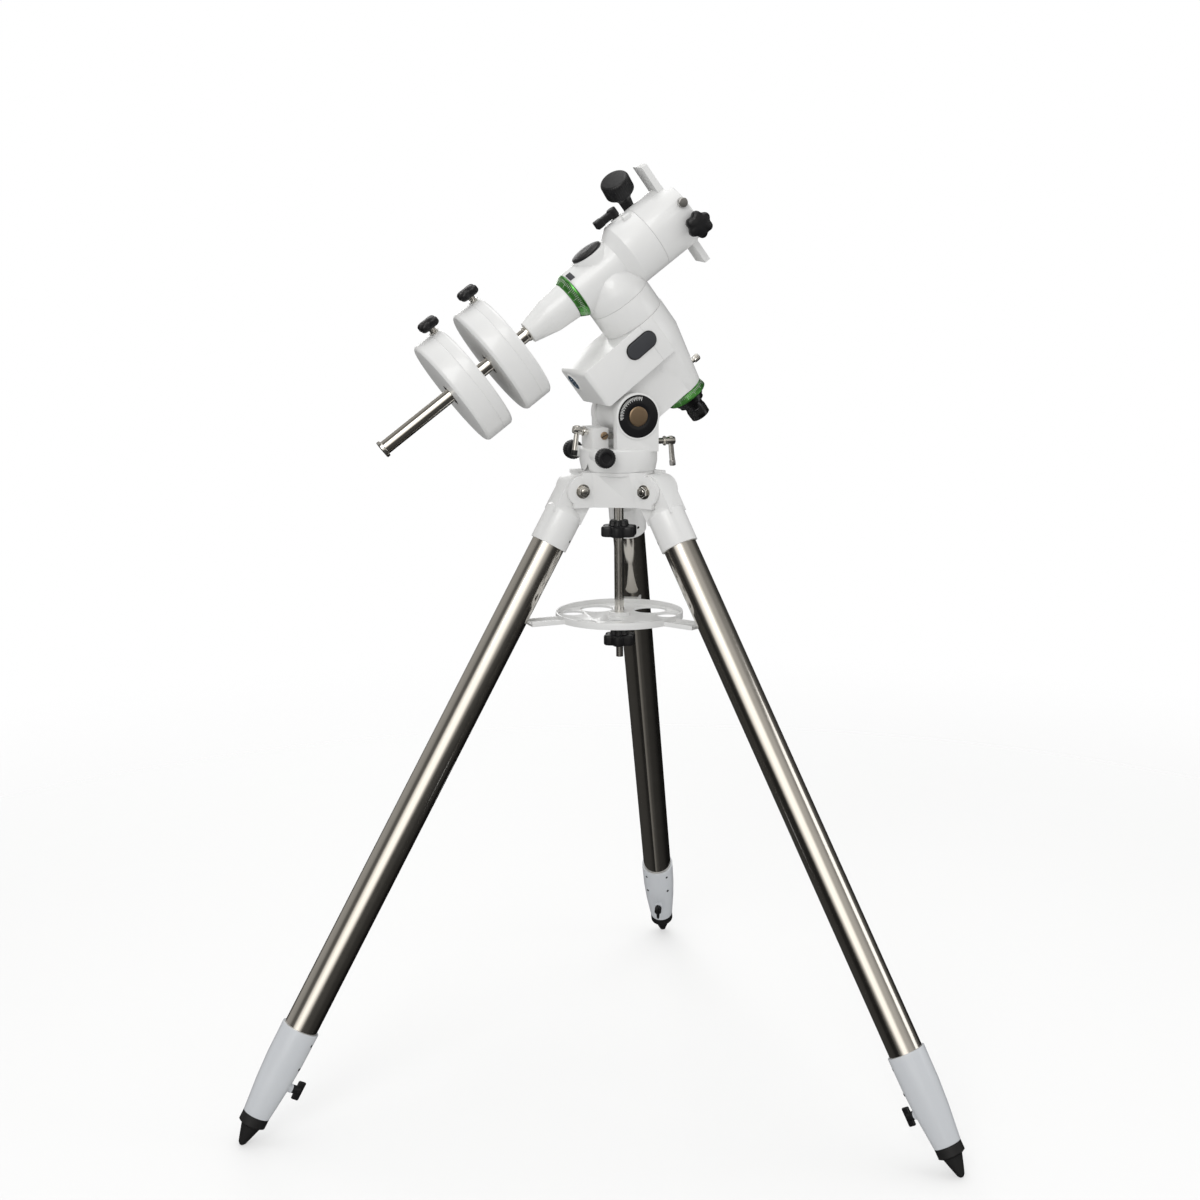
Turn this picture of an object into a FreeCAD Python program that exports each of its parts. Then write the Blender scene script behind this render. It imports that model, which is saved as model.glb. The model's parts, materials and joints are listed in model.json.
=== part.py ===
# German-type equatorial mount on a folding steel tripod, in millimetres.
# +X points south, +Y east, +Z up; the origin is on the floor, on the tripod's vertical axis.
# The right ascension axis lies in the XZ plane and points up to the north at the set latitude.
import FreeCAD, Part
import math
import os
import re

import Sketcher
from FreeCAD import Placement, Rotation, Vector

doc = FreeCAD.newDocument("EquatorialMount")

# ---------------------------------------------------------------- driving dimensions
dimensions = {
    # fits between pieces
    "runFit": 0.05, "partGap": 0.3, "seamGap": 0.3, "overCut": 1, "overlap": 1, "knobLap": 2,
    # knobs
    "lobeShare": 0.3, "coreShare": 0.78, "gripLobes": 6, "starLobes": 6, "lockLobes": 4,
    "knobEdge": 1, "knobRound": 2,
    # tripod hub
    "hubTop": 856, "hubHeight": 46, "hubWallHalf": 27.5, "ribHalf": 4, "earStart": 22,
    "earFootHalf": 12, "earFootDrop": 8, "hubBossRadius": 30, "hubFlangeRadius": 48,
    "hubFlangeThick": 4.7,
    "wallDistance": 43.6, "wallThick": 7, "earOuter": 24, "earRadius": 20, "pivotRadius": 60,
    "pivotHeight": 832, "pivotBoltRadius": 4, "boltHeadRadius": 7.2, "boltHeadHeight": 5.5,
    "boltTail": 2,
    "pegRadius": 5, "pegPlace": 42, "pegHeight": 27,
    # legs
    "legSpread": 29.85, "tongueWide": 33.4, "tongueRadius": 21.5, "castingRadius": 25, "castingTop": 26,
    "castingEnd": 81, "neckLap": 14, "shoulderIn": 7, "shoulderDown": 8, "tubeRadius": 22.225,
    "tubeWall": 1.2, "tubeTop": 36, "tubeSeat": 60,
    "collarLength": 125.5, "collarHighRadius": 24.5, "collarHighPlace": 45,
    "collarLowRadius": 22.5, "collarLowPlace": 80, "collarEndRadius": 18, "innerTubeRadius": 16.5,
    "innerTubeWall": 1.5,
    "innerTubeTop": 255, "guideLength": 25, "footLap": 2, "footLength": 44, "footCapLength": 13,
    "footTipRadius": 5, "footShoulder": 13,
    "footShoulderDrop": 3, "footNeckRadius": 8, "footNeckRise": 12, "footTipRise": 3,
    "footPointRadius": 2.5, "tubeEnd": 850,
    "clampPlace": 46, "clampBossRadius": 6, "clampBossEnd": 27.5, "clampHubRadius": 5.5,
    "clampHubStart": 28.5, "clampHubEnd": 37, "clampWingStart": 32.5, "clampStemRadius": 3,
    "clampKnobReach": 43, "clampWing": 13, "clampWingThick": 4,
    # centre shaft and accessory tray
    "shaftRadius": 6.5, "shaftThreadRadius": 5, "shaftThreadTop": 873, "shaftTipRadius": 4.75,
    "shaftStep": 642, "shaftChamfer": 2, "shaftLow": 601, "lockKnobRadius": 25, "lockKnobLow": 766,
    "lockKnobHigh": 781.5,
    "lockKnobHub": 11.3, "lockKnobHubHigh": 788, "trayRadius": 85.7, "trayTop": 664, "trayDepth": 9,
    "trayPlate": 3, "trayLip": 2.4, "trayHubRadius": 14, "trayHubLow": 645, "trayArmReach": 129.5,
    "trayArmWide": 28, "trayArmRoot": 10, "trayArmLipDrop": 3, "trayWideHole": 22.5,
    "trayWidePlace": 55, "trayWideTurn": 42,
    "traySlimHole": 15.5, "traySlimPlace": 65, "traySlimTurn": 83, "trayFarTurn": 143,
    "trayNearHole": 10, "trayNearPlace": 30, "trayKnobRadius": 22.5, "trayKnobHigh": 640,
    "trayKnobMiddle": 632, "trayKnobLow": 618,
    # azimuth base and yoke
    "baseLow": 856.3, "baseTop": 886, "baseRadius": 51.5, "baseLowRadius": 49, "yokeWidth": 59,
    "yokeInner": 32, "yokeOuter": 44, "yokeRound": 30.5, "altitudeX": 9.6, "altitudeZ": 928.9,
    "lugPocketLow": 877, "lugPocketHalf": 24, "lugPocketWide": 13, "baseSlope": 12,
    "baseEdge": 2, "wallRoot": 4, "bossRoot": 20, "southWallPlace": 48.5, "southWallHalf": 16,
    "threadRoom": 2, "pegRoomHalf": 7, "pegRoomWide": 14, "southWallThick": 12,
    "southWallTop": 900, "bracketLength": 22,
    "bracketWide": 40, "bracketTop": 913, "bracketSouth": -22, "axleRadius": 8,
    "axleHeadRadius": 16, "axleHeadThick": 3, "dialRadius": 28,
    "dialThick": 2.5, "azimuthBoltRadius": 4, "azimuthBoltHeight": 878, "azimuthBossReach": 43,
    "azimuthBossRadius": 7.4, "azimuthKnobRadius": 13, "azimuthKnobStart": 50, "azimuthKnobEnd": 64,
    "pushGap": 0.5,
    # altitude bolts
    "altitudeBoltRadius": 4, "southBoltHeight": 890.5, "southBoltElbow": 78, "handleLength": 34,
    "southHandleTurn": 5,
    "northHandleTurn": 8,
    "handleRadius": 4.2, "northBoltTilt": 12.2, "northBoltElbow": 60, "northBoltHeight": 895.2,
    "northBoltGap": 5, "lugReach": 36, "lugRound": 9, "lugWide": 20,
    # right ascension axis
    "latitude": 52.76, "hourAngle": 5.47, "axisOffset": 84.7, "axisRise": 163.3,
    "raHousingRadius": 44, "raHousingTop": -73, "raHousingStraight": -109, "raHousingEnd": -190,
    "raHousingEndRadius": 27, "wheelRadius": 38.9, "wheelRoom": 40.5, "wheelRoomEnd": -112,
    "wheelTop": -86, "wheelThick": 16, "raShaftRadius": 20, "polarBore": 13, "raShaftTop": -28,
    "raShaftEnd": -208, "lugHalf": 31.5, "lugBlockEnd": -188, "lugEyeRadius": 28, "flankEnd": 8,
    "lugBlockStart": 4, "wormRoomOut": 60, "wormRoomEnd": 6, "wormRoomSide": 2, "raNeckRadius": 43,
    "raNeckTop": -40, "wormOffset": 46, "wormRadius": 6.8, "wormHalf": 24, "spindleRadius": 4,
    "coverStart": 12, "coverEnd": 110, "coverHalf": 44, "coverLow": -129, "coverWall": 3,
    "coverRound": 6, "raKnobRadius": 15, "raKnobStart": 47, "raKnobEnd": 61, "plugLength": 47,
    "plugWidth": 23, "plugThick": 3, "plugPlace": 25, "plugHeight": -94, "plugStem": 4,
    "plugStemPlace": 8, "plugStemLength": 6, "plugStemGap": 0.2, "spindleRoom": 2, "spindleTail": 12,
    "raRingTop": -191, "raRingEnd": -202, "raRingTopRadius": 26, "raRingLowRadius": 28.5,
    "ringEdge": 1.5,
    "ringEdgeRise": 3, "decRingEdge": 0.5, "scopeInside": 80,
    "scopeFlangeRadius": 18, "scopeFlangeEnd": -213, "scopeTubeRadius": 13.5, "scopeTubeEnd": -236,
    "ringScrewPlace": -170, "ringScrewRadius": 3, "ringScrewReach": 42, "ringHeadRadius": 4.5,
    "ringHeadStart": 37,
    "ringHeadEnd": 45, "ringScrewDeep": 24,
    # declination housing
    "decRadius": 32, "decLow": -43.7, "decShoulder": 24, "decFlare": 39, "decHeadRadius": 44,
    "decSeam": 77, "footRadius": 43, "footStraight": 14, "footMidRadius": 38.5, "footMidDrop": 13,
    "footHighRadius": 33, "footHighDrop": 3, "footCoreRadius": 24, "footCoreRise": 4,
    "capBossRadius": 25, "capBossRoot": 28, "capBossStraight": 26, "capBossTop": 33,
    "capRadius": 21.75,
    "capSpigot": 9.9, "capSpigotLength": 8, "capTop": 37.5, "capEdge": 1.5, "capEdgeIn": 4,
    "capDome": 1, "polarHole": 10, "neckSeatDeep": 8, "sightHole": 9, "decShaftRadius": 14, "decShaftLow": -60,
    "decShaftTop": 116, "decClutchPlace": 58, "clutchStemRadius": 5, "clutchStemDeep": 8,
    "clutchLift": 1, "clutchArmLow": 48,
    "clutchBossRadius": 8, "clutchBossRoot": 30, "clutchBossTop": 46, "clutchStemTop": 51,
    "clutchArmLength": 24, "clutchArmThick": 8, "clutchArmWide": 9,
    # rotating head and saddle
    "headTop": 137, "headEdge": 2, "saddleFloor": 126.5, "saddleHalf": 24, "saddleLip": 4.5,
    "armHalf": 70, "armTop": 79,
    "armWide": 36, "armThick": 8.3, "headRoom": 41, "headRoomTop": 97, "decWormPlace": 88,
    "decWormTilt": 21, "wormBlockHalf": 19, "wormBlockBack": 16, "wormBlockRoot": 36, "wormStart": -20,
    "wormEnd": 2, "wormSlotGap": 1.5, "wormSlotIn": 34.9, "wormSlotTop": 6, "wormBoreGap": 0.6,
    "wormBlockLow": -28, "wormBlockTop": 8,
    "wormBlockOut": 58, "decKnobRadius": 20, "decKnobTop": 71, "decKnobLow": 42,
    "decNeckRadius": 9, "decNeckLowRadius": 7,
    "decNeckTop": 37, "decKnobUnder": 13, "decKnobRim": 49, "decKnobRound": 3,
    "decNeckLow": 14, "brassRingRadius": 8, "clampScrewPlace": 130.5, "clampScrewRadius": 4,
    "starKnobRadius": 18, "starKnobStart": 46, "starKnobEnd": 60, "starKnobLift": -16,
    "safetyScrewLift": 18, "safetyHeadRadius": 6.25, "safetyHeadStart": 41, "safetyHeadEnd": 49,
    "screwTipPlace": 21, "screwHoleEnd": 10,
    # counterweight side, measured from the crossing of the axes
    "decRingStart": 44, "decRingEnd": 56, "decRingTopRadius": 31.3, "decRingLowRadius": 25.5,
    "coneHubRadius": 18, "coneStart": 56.3, "coneEnd": 123, "coneWideRadius": 25.5,
    "coneMidRadius": 23, "coneMidPlace": 88, "coneEndRadius": 14.6, "coneSocket": 62,
    "barRadius": 9, "barStart": 66, "barEnd": 359, "barNutRadius": 10.2, "barNutLength": 4,
    "weightRadius": 75, "weightThick": 41.5, "weightBore": 9.06, "weightRound": 4,
    "weightDish": 70, "weightDishDeep": 1, "weightBush": 15,
    "innerWeightPlace": 146, "outerWeightPlace": 210, "weightKnobRadius": 16, "lockPlace": 9,
    "weightStemRadius": 4.5, "weightKnobStart": 83, "weightKnobEnd": 95, "weightStemTip": 12,
    "stopRadius": 11.7, "stopThick": 4.6, "stopScrewRadius": 3, "stopScrewLength": 14,
}

sheet = doc.addObject("Spreadsheet::Sheet", "Dimensions")
for row, (alias, number) in enumerate(dimensions.items(), start=1):
    sheet.set(f"A{row}", alias)
    sheet.set(f"B{row}", str(number))
    sheet.setAlias(f"B{row}", alias)
doc.recompute()

aliasWord = re.compile(r"\b[A-Za-z]\w*\b")
functionWords = ("sin", "cos", "tan", "sqrt", "deg")
legAngles = {"north": 180, "southwest": 300, "southeast": 60}
upward = Rotation()
pieces = []


def bound(text):
    """An expression on the sheet's cells, written with the bare names."""
    def full(found):
        word = found.group(0)
        return word if word in functionWords else "Dimensions." + word
    return aliasWord.sub(full, text)


def value(text):
    """The number that an expression on the sheet's cells gives now."""
    return float(sheet.evalExpression(text))


def bind(thing, **sizes):
    for name, text in sizes.items():
        thing.setExpression(name, bound(text))
    return thing


def stand(thing, x, y, z, turn=upward):
    """Sets a primitive's place by expressions, after its turn."""
    thing.Placement = Placement(Vector(value(x), value(y), value(z)), turn)
    for letter, text in zip("xyz", (x, y, z)):
        thing.setExpression("Placement.Base." + letter, bound(text))
    return thing


turns = {
    "x": Rotation(Vector(0, 1, 0), 90),
    "y": Rotation(Vector(1, 0, 0), -90),
    "z": upward,
}


def block(name, xs, ys, zs):
    """A box between two bounds on each axis."""
    box = doc.addObject("Part::Box", name)
    low = [pair[0] for pair in (xs, ys, zs)]
    size = [f"({pair[1]}) - ({pair[0]})" for pair in (xs, ys, zs)]
    bind(box, Length=size[0], Width=size[1], Height=size[2])
    return stand(box, *low)


def rod(name, radius, start, end, x="0", y="0", z="0", along="z", turn=None):
    """A cylinder along one axis, from start to end on it, with the other two coordinates given."""
    cylinder = doc.addObject("Part::Cylinder", name)
    bind(cylinder, Radius=radius, Height=f"({end}) - ({start})")
    place = {"x": x, "y": y, "z": z}
    place[along] = start
    return stand(cylinder, place["x"], place["y"], place["z"], turn or turns[along])


def fuse(name, *things):
    joined = doc.addObject("Part::MultiFuse", name)
    joined.Shapes = list(things)
    joined.Refine = True
    return joined


def cut(name, base, *tools):
    carved = doc.addObject("Part::Cut", name)
    carved.Base = base
    carved.Tool = tools[0] if len(tools) == 1 else fuse(name + "Tools", *tools)
    return carved


def group(name, things):
    together = doc.addObject("Part::Compound", name)
    together.Links = list(things)
    return together


def planeOf(body, role):
    return next(f for f in body.Origin.OriginFeatures if f.Role == role)


def outlineSketch(body, name, role, points):
    """A closed outline of straight edges, each corner held to the sheet by two dimensions."""
    sketch = body.newObject("Sketcher::SketchObject", name)
    sketch.AttachmentSupport = [(planeOf(body, role), "")]
    sketch.MapMode = "FlatFace"
    corners = [Vector(value(a), value(b), 0) for a, b in points]
    for start, end in zip(corners, corners[1:] + corners[:1]):
        sketch.addGeometry(Part.LineSegment(start, end), False)
    count = len(corners)
    for edge in range(count):
        sketch.addConstraint(Sketcher.Constraint("Coincident", edge, 2, (edge + 1) % count, 1))
    for edge, (across, up) in enumerate(points):
        for kind, text, origin in (("DistanceX", across, -2), ("DistanceY", up, -1)):
            if text == "0":
                sketch.addConstraint(Sketcher.Constraint("PointOnObject", edge, 1, origin))
                continue
            held = sketch.addConstraint(Sketcher.Constraint(kind, -1, 1, edge, 1, value(text)))
            sketch.setExpression(f"Constraints[{held}]", bound(text))
    return sketch


def turned(name, points):
    """A body turned about its Z axis from an outline of (radius, height) corners."""
    body = doc.addObject("PartDesign::Body", name)
    sketch = outlineSketch(body, name + "Outline", "XZ_Plane", points)
    revolution = body.newObject("PartDesign::Revolution", name + "Turn")
    revolution.Profile = (sketch, [""])
    revolution.ReferenceAxis = (sketch, ["V_Axis"])
    revolution.Angle = 360
    return body


def plate(name, points, low, high):
    """A body padded up from an outline of (x, y) corners, from the height low to high."""
    body = doc.addObject("PartDesign::Body", name)
    sketch = outlineSketch(body, name + "Outline", "XY_Plane", points)
    pad = body.newObject("PartDesign::Pad", name + "Pad")
    pad.Profile = (sketch, [""])
    bind(pad, Length=f"({high}) - ({low})")
    return stand(body, "0", "0", low)


def ring(name, outer, inner, low, high):
    return turned(name, [(inner, low), (outer, low), (outer, high), (inner, high)])


def lobedKnob(name, radius, low, high, lobes, bore="0"):
    """A knob with round lobes about a thick disc, bored right through when bore isn't 0."""
    rounds = [rod(name + "Core", f"({radius}) * coreShare", low, high)]
    for step in range(int(value(lobes))):
        angle = f"({step} * 360 / {lobes}) * 1deg"
        reach = f"({radius}) * (1 - lobeShare)"
        rounds.append(rod(f"{name}Lobe{step}", f"({radius}) * lobeShare", low, high,
                          x=f"{reach} * cos({angle})", y=f"{reach} * sin({angle})"))
    knob = fuse(name + "Solid", *rounds)
    if bore == "0":
        return knob
    hole = rod(name + "Hole", bore, low + " - overCut", high + " + overCut")
    return cut(name + "Bored", knob, hole)


def piece(node, thing, frame=Placement()):
    """Names a sub-part and puts it in its frame."""
    thing.Label = node
    moved(frame, thing)
    pieces.append((node, thing))
    return thing


def moved(frame, *solids):
    """Frees primitives from the sheet's place and carries them into a frame."""
    for solid in solids:
        for letter in "xyz":
            solid.setExpression("Placement.Base." + letter, None)
        solid.Placement = frame.multiply(solid.Placement)


def swing(angle, *solids):
    """Turns primitives about the tripod's axis."""
    moved(about(axisZ, angle), *solids)


def at(x, y, z, turn=upward):
    return Placement(Vector(value(x), value(y), value(z)), turn)


def about(axis, angle):
    return Placement(Vector(), Rotation(axis, angle))


# ---------------------------------------------------------------- frames
axisX, axisY, axisZ = Vector(1, 0, 0), Vector(0, 1, 0), Vector(0, 0, 1)
altitudeFrame = at("altitudeX", "0", "altitudeZ", Rotation(axisY, value("latitude - 90")))
raFrame = altitudeFrame.multiply(at("axisOffset", "0", "axisRise"))
decFrame = raFrame.multiply(about(axisZ, -value("hourAngle")))
saddleFrame = decFrame.multiply(about(axisY, 90))
weightFrame = decFrame.multiply(about(axisY, -90))
wormFrame = decFrame.multiply(at("decWormPlace", "0", "0", Rotation(axisX, value("decWormTilt"))))


def legFrame(angle):
    """At the leg's pivot, with Z down along the leg and X towards the inside."""
    pivot = Placement(Vector(value("pivotRadius"), 0, value("pivotHeight")), upward)
    lean = Rotation(axisY, 180 - value("legSpread"))
    return about(axisZ, angle).multiply(pivot).multiply(Placement(Vector(), lean))


# ---------------------------------------------------------------- tripod hub
def tripodHub():
    low = "hubTop - hubHeight"
    boss = rod("hubBoss", "hubBossRadius", low, "hubTop - overlap")
    flange = rod("hubFlange", "hubFlangeRadius", "hubTop - hubFlangeThick", "hubTop")
    solids = [boss, flange]
    for step in range(3):
        between = 120 * step
        wall = block(f"hubWall{step}", ("wallDistance - wallThick", "wallDistance"),
                     ("0 - hubWallHalf", "hubWallHalf"), (low, "hubTop"))
        rib = block(f"hubRib{step}", ("0", "wallDistance - overlap"), ("0 - ribHalf", "ribHalf"),
                    (low, "hubTop - overlap"))
        swing(between, wall, rib)
        solids += [wall, rib]
    for node, angle in legAngles.items():
        for side, (start, end) in {"A": ("earOuter - wallThick", "earOuter"),
                                   "B": ("0 - earOuter", "wallThick - earOuter")}.items():
            ear = block(f"{node}Ear{side}", ("earStart", "pivotRadius"), (start, end), (low, "hubTop"))
            tip = rod(f"{node}EarTip{side}", "earRadius", start, end, x="pivotRadius",
                      z="pivotHeight", along="y")
            foot = block(f"{node}EarFoot{side}", ("pivotRadius - earFootHalf", "pivotRadius + earFootHalf"),
                         (start, end), (low, "pivotHeight - earFootDrop"))
            swing(angle, ear, tip, foot)
            solids += [ear, tip, foot]
    tools = [rod("hubBore", "shaftRadius + runFit", "hubTop - hubHeight - overCut",
                 "hubTop + overCut")]
    for node, angle in legAngles.items():
        hole = rod(node + "PivotHole", "pivotBoltRadius", "0 - earOuter - overCut",
                   "earOuter + overCut", x="pivotRadius",
                   z="pivotHeight", along="y")
        swing(angle, hole)
        tools.append(hole)
    peg = rod("azimuthPeg", "pegRadius", "hubTop - overlap", "hubTop + pegHeight", x="0 - pegPlace")
    return piece("tripod_hub", fuse("hubWithPeg", cut("hubCast", fuse("hubSolid", *solids), *tools), peg))


def pivotBolt(node, angle):
    """One bolt through a leg's pivot, with a hexagon head and a nut as separate solids."""
    reach = value("earOuter")
    shank = rod(node + "Shank", "pivotBoltRadius", "0 - earOuter", "earOuter + boltHeadHeight + boltTail",
                along="y")
    head = hexagon(node + "Head", "boltHeadRadius", "boltHeadHeight")
    head.Placement = Placement(Vector(0, -reach, 0), Rotation(axisX, 90))
    nut = cut(node + "Nut", hexagon(node + "NutSolid", "boltHeadRadius", "boltHeadHeight"),
              rod(node + "NutHole", "pivotBoltRadius", "0 - overCut", "boltHeadHeight + overCut"))
    nut.Placement = Placement(Vector(0, reach, 0), Rotation(axisX, -90))
    bolt = group(node + "Bolt", [fuse(node + "BoltSolid", shank, head), nut])
    pivot = Placement(Vector(value("pivotRadius"), 0, value("pivotHeight")), upward)
    bolt.Placement = about(axisZ, angle).multiply(pivot)
    return bolt


def hexagon(name, radius, height):
    prism = doc.addObject("Part::Prism", name)
    prism.Polygon = 6
    return bind(prism, Circumradius=radius, Height=height)


def mountLockShaft():
    return piece("mount_lock_shaft", turned("lockShaft", [
        ("0", "shaftLow"), ("shaftTipRadius", "shaftLow"), ("shaftTipRadius", "shaftStep"),
        ("shaftRadius", "shaftStep + shaftChamfer"), ("shaftRadius", "hubTop"),
        ("shaftThreadRadius", "hubTop"), ("shaftThreadRadius", "shaftThreadTop"),
        ("0", "shaftThreadTop")]))


def mountLockKnob():
    bore = "shaftRadius + runFit"
    knob = lobedKnob("lockKnob", "lockKnobRadius", "lockKnobLow", "lockKnobHigh", "gripLobes", bore)
    hub = ring("lockKnobHubRing", "lockKnobHub", bore, "lockKnobHigh", "lockKnobHubHigh")
    return piece("mount_lock_knob", fuse("lockKnobWhole", knob, hub))


def accessoryTray():
    bottom = "trayTop - trayDepth"
    dish = turned("trayDish", [
        ("0", bottom), ("trayRadius", bottom), ("trayRadius", "trayTop"),
        ("trayRadius - trayLip", "trayTop"), ("trayRadius - trayLip", bottom + " + trayPlate"),
        ("0", bottom + " + trayPlate")])
    hub = rod("trayHub", "trayHubRadius", "trayHubLow", "trayTop - overlap")
    solids = [dish, hub]
    backward = legAngles["southeast"]
    for angle in legAngles.values():
        arm = block(f"trayArm{angle}", ("trayArmRoot", "trayArmReach"),
                    ("0 - trayArmWide / 2", "trayArmWide / 2"), (bottom, bottom + " + trayPlate"))
        lips = [block(f"trayArmLip{angle}{side}", ("trayRadius - trayLip / 2", "trayArmReach"), span,
                      (bottom, "trayTop - trayArmLipDrop"))
                for side, span in {"A": ("0 - trayArmWide / 2", "trayLip - trayArmWide / 2"),
                                   "B": ("trayArmWide / 2 - trayLip", "trayArmWide / 2")}.items()]
        swing(angle, arm, *lips)
        solids += [arm] + lips
    bore = "shaftRadius + partGap"
    tools = [rod("trayBore", bore, "trayHubLow - overCut", "trayTop + overCut")]
    for kind, radius, reach, turn in (("Wide", "trayWideHole", "trayWidePlace", "trayWideTurn"),
                                      ("Slim", "traySlimHole", "traySlimPlace", "traySlimTurn"),
                                      ("Far", "traySlimHole", "traySlimPlace", "trayFarTurn")):
        for side in (1, -1):
            angle = f"({backward} + {side} * {turn}) * 1deg"
            tools.append(rod(f"tray{kind}Hole{side + 1}", radius, bottom + " - overCut",
                             "trayTop + overCut", x=f"{reach} * cos({angle})",
                             y=f"{reach} * sin({angle})"))
    opposite = f"({backward} + 180) * 1deg"
    tools.append(rod("trayNearHoleCut", "trayNearHole", bottom + " - overCut",
                     "trayTop + overCut", x=f"trayNearPlace * cos({opposite})",
                     y=f"trayNearPlace * sin({opposite})"))
    return piece("accessory_tray", cut("trayCast", fuse("traySolid", *solids), *tools))


def trayLockKnob():
    bore = "shaftRadius + partGap"
    knob = lobedKnob("trayKnob", "trayKnobRadius", "trayKnobLow", "trayKnobMiddle", "gripLobes", bore)
    hub = ring("trayKnobHub", "lockKnobHub", bore, "trayKnobMiddle", "trayKnobHigh")
    return piece("tray_lock_knob", fuse("trayKnobWhole", knob, hub))


# ---------------------------------------------------------------- one leg
def legCasting(name, frame):
    """The white upper casting: a tongue about the pivot and a socket for the tube."""
    half = "tongueWide / 2"
    tongue = rod(name + "Tongue", "tongueRadius", "0 - tongueWide / 2", half, along="y")
    neck = block(name + "Neck", ("0 - tongueRadius", "tongueRadius"), ("0 - tongueWide / 2", half),
                 ("0", "castingTop + neckLap"))
    sleeve = turned(name + "Sleeve", [
        ("0", "castingTop"), ("castingRadius - shoulderIn", "castingTop"),
        ("castingRadius", "castingTop + shoulderDown"),
        ("castingRadius", "castingEnd"), ("0", "castingEnd")])
    bore = rod(name + "PivotBore", "pivotBoltRadius + runFit", "0 - tongueWide", "tongueWide",
               along="y")
    socket = rod(name + "Socket", "tubeRadius", "tubeTop", "castingEnd + overCut")
    solid = fuse(name + "CastingSolid", tongue, neck, sleeve)
    return piece(name + "_leg_casting", cut(name + "Casting", solid, bore, socket), frame)


def legTube(name, frame):
    return piece(name + "_leg_tube", ring(name + "Tube", "tubeRadius", "tubeRadius - tubeWall",
                                          "tubeTop", "tubeEnd"), frame)


def legCollar(name, frame, length):
    """The tapered lower collar, with the clamp's boss on its inner side."""
    low = f"{length} - footLength"
    top = f"{length} - footLength - collarLength"
    inner = "innerTubeRadius + runFit"
    body = turned(name + "CollarBody", [
        ("tubeRadius", top), ("castingRadius", top), ("collarHighRadius", top + " + collarHighPlace"),
        ("collarLowRadius", top + " + collarLowPlace"), ("collarEndRadius", low), (inner, low),
        (inner, "tubeEnd"), ("tubeRadius", "tubeEnd")])
    clamp = f"{length} - footLength - clampPlace"
    boss = rod(name + "ClampBoss", "clampBossRadius", "innerTubeRadius + overlap", "clampBossEnd",
               z=clamp, along="x")
    hole = rod(name + "ClampHole", "clampStemRadius", "innerTubeRadius", "clampKnobReach",
               z=clamp, along="x")
    return piece(name + "_leg_collar", cut(name + "Collar", fuse(name + "CollarSolid", body, boss),
                                           hole), frame)


def legClampKnob(name, frame, length):
    """A wing knob on a stem that presses on the inner tube."""
    clamp = f"{length} - footLength - clampPlace"
    stem = rod(name + "ClampStem", "clampStemRadius - runFit", "innerTubeRadius + pushGap",
               "clampHubEnd", z=clamp, along="x")
    hub = rod(name + "ClampHub", "clampHubRadius", "clampHubStart", "clampHubEnd",
              z=clamp, along="x")
    wing = block(name + "ClampWing", ("clampWingStart", "clampKnobReach"),
                 ("0 - clampWingThick / 2", "clampWingThick / 2"),
                 (clamp + " - clampWing", clamp + " + clampWing"))
    return piece(name + "_clamp_knob", fuse(name + "Clamp", stem, hub, wing), frame)


def legExtension(name, frame, length):
    """The inner tube, with its guide ring at the top."""
    low = f"{length} - footLength + footCapLength - footLap"
    guide = "tubeRadius - tubeWall - runFit"
    return piece(name + "_leg_extension", turned(name + "Extension", [
        ("innerTubeRadius - innerTubeWall", "innerTubeTop"), (guide, "innerTubeTop"),
        (guide, "innerTubeTop + guideLength"), ("innerTubeRadius", "innerTubeTop + guideLength"),
        ("innerTubeRadius", low), ("innerTubeRadius - innerTubeWall", low)]), frame)


def legFoot(name, frame, length):
    """The black foot: a cap on the inner tube and a blunt spike."""
    start = f"{length} - footLength"
    capLow = start + " + footCapLength"
    return piece(name + "_foot", turned(name + "Foot", [
        ("0", capLow + " - footLap"), ("innerTubeRadius", capLow + " - footLap"),
        ("innerTubeRadius", start + " + seamGap"), ("collarEndRadius", start + " + seamGap"),
        ("collarEndRadius", capLow), ("footShoulder", capLow + " + footShoulderDrop"),
        ("footNeckRadius", length + " - footNeckRise"), ("footTipRadius", length + " - footTipRise"),
        ("footPointRadius", length), ("0", length)]), frame)


def tripodLegs():
    reach = "(pivotHeight / cos(legSpread * 1deg))"
    for name, angle in legAngles.items():
        frame = legFrame(angle)
        legCasting(name, frame)
        legTube(name, frame)
        legCollar(name, frame, reach)
        legClampKnob(name, frame, reach)
        legExtension(name, frame, reach)
        legFoot(name, frame, reach)


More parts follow.
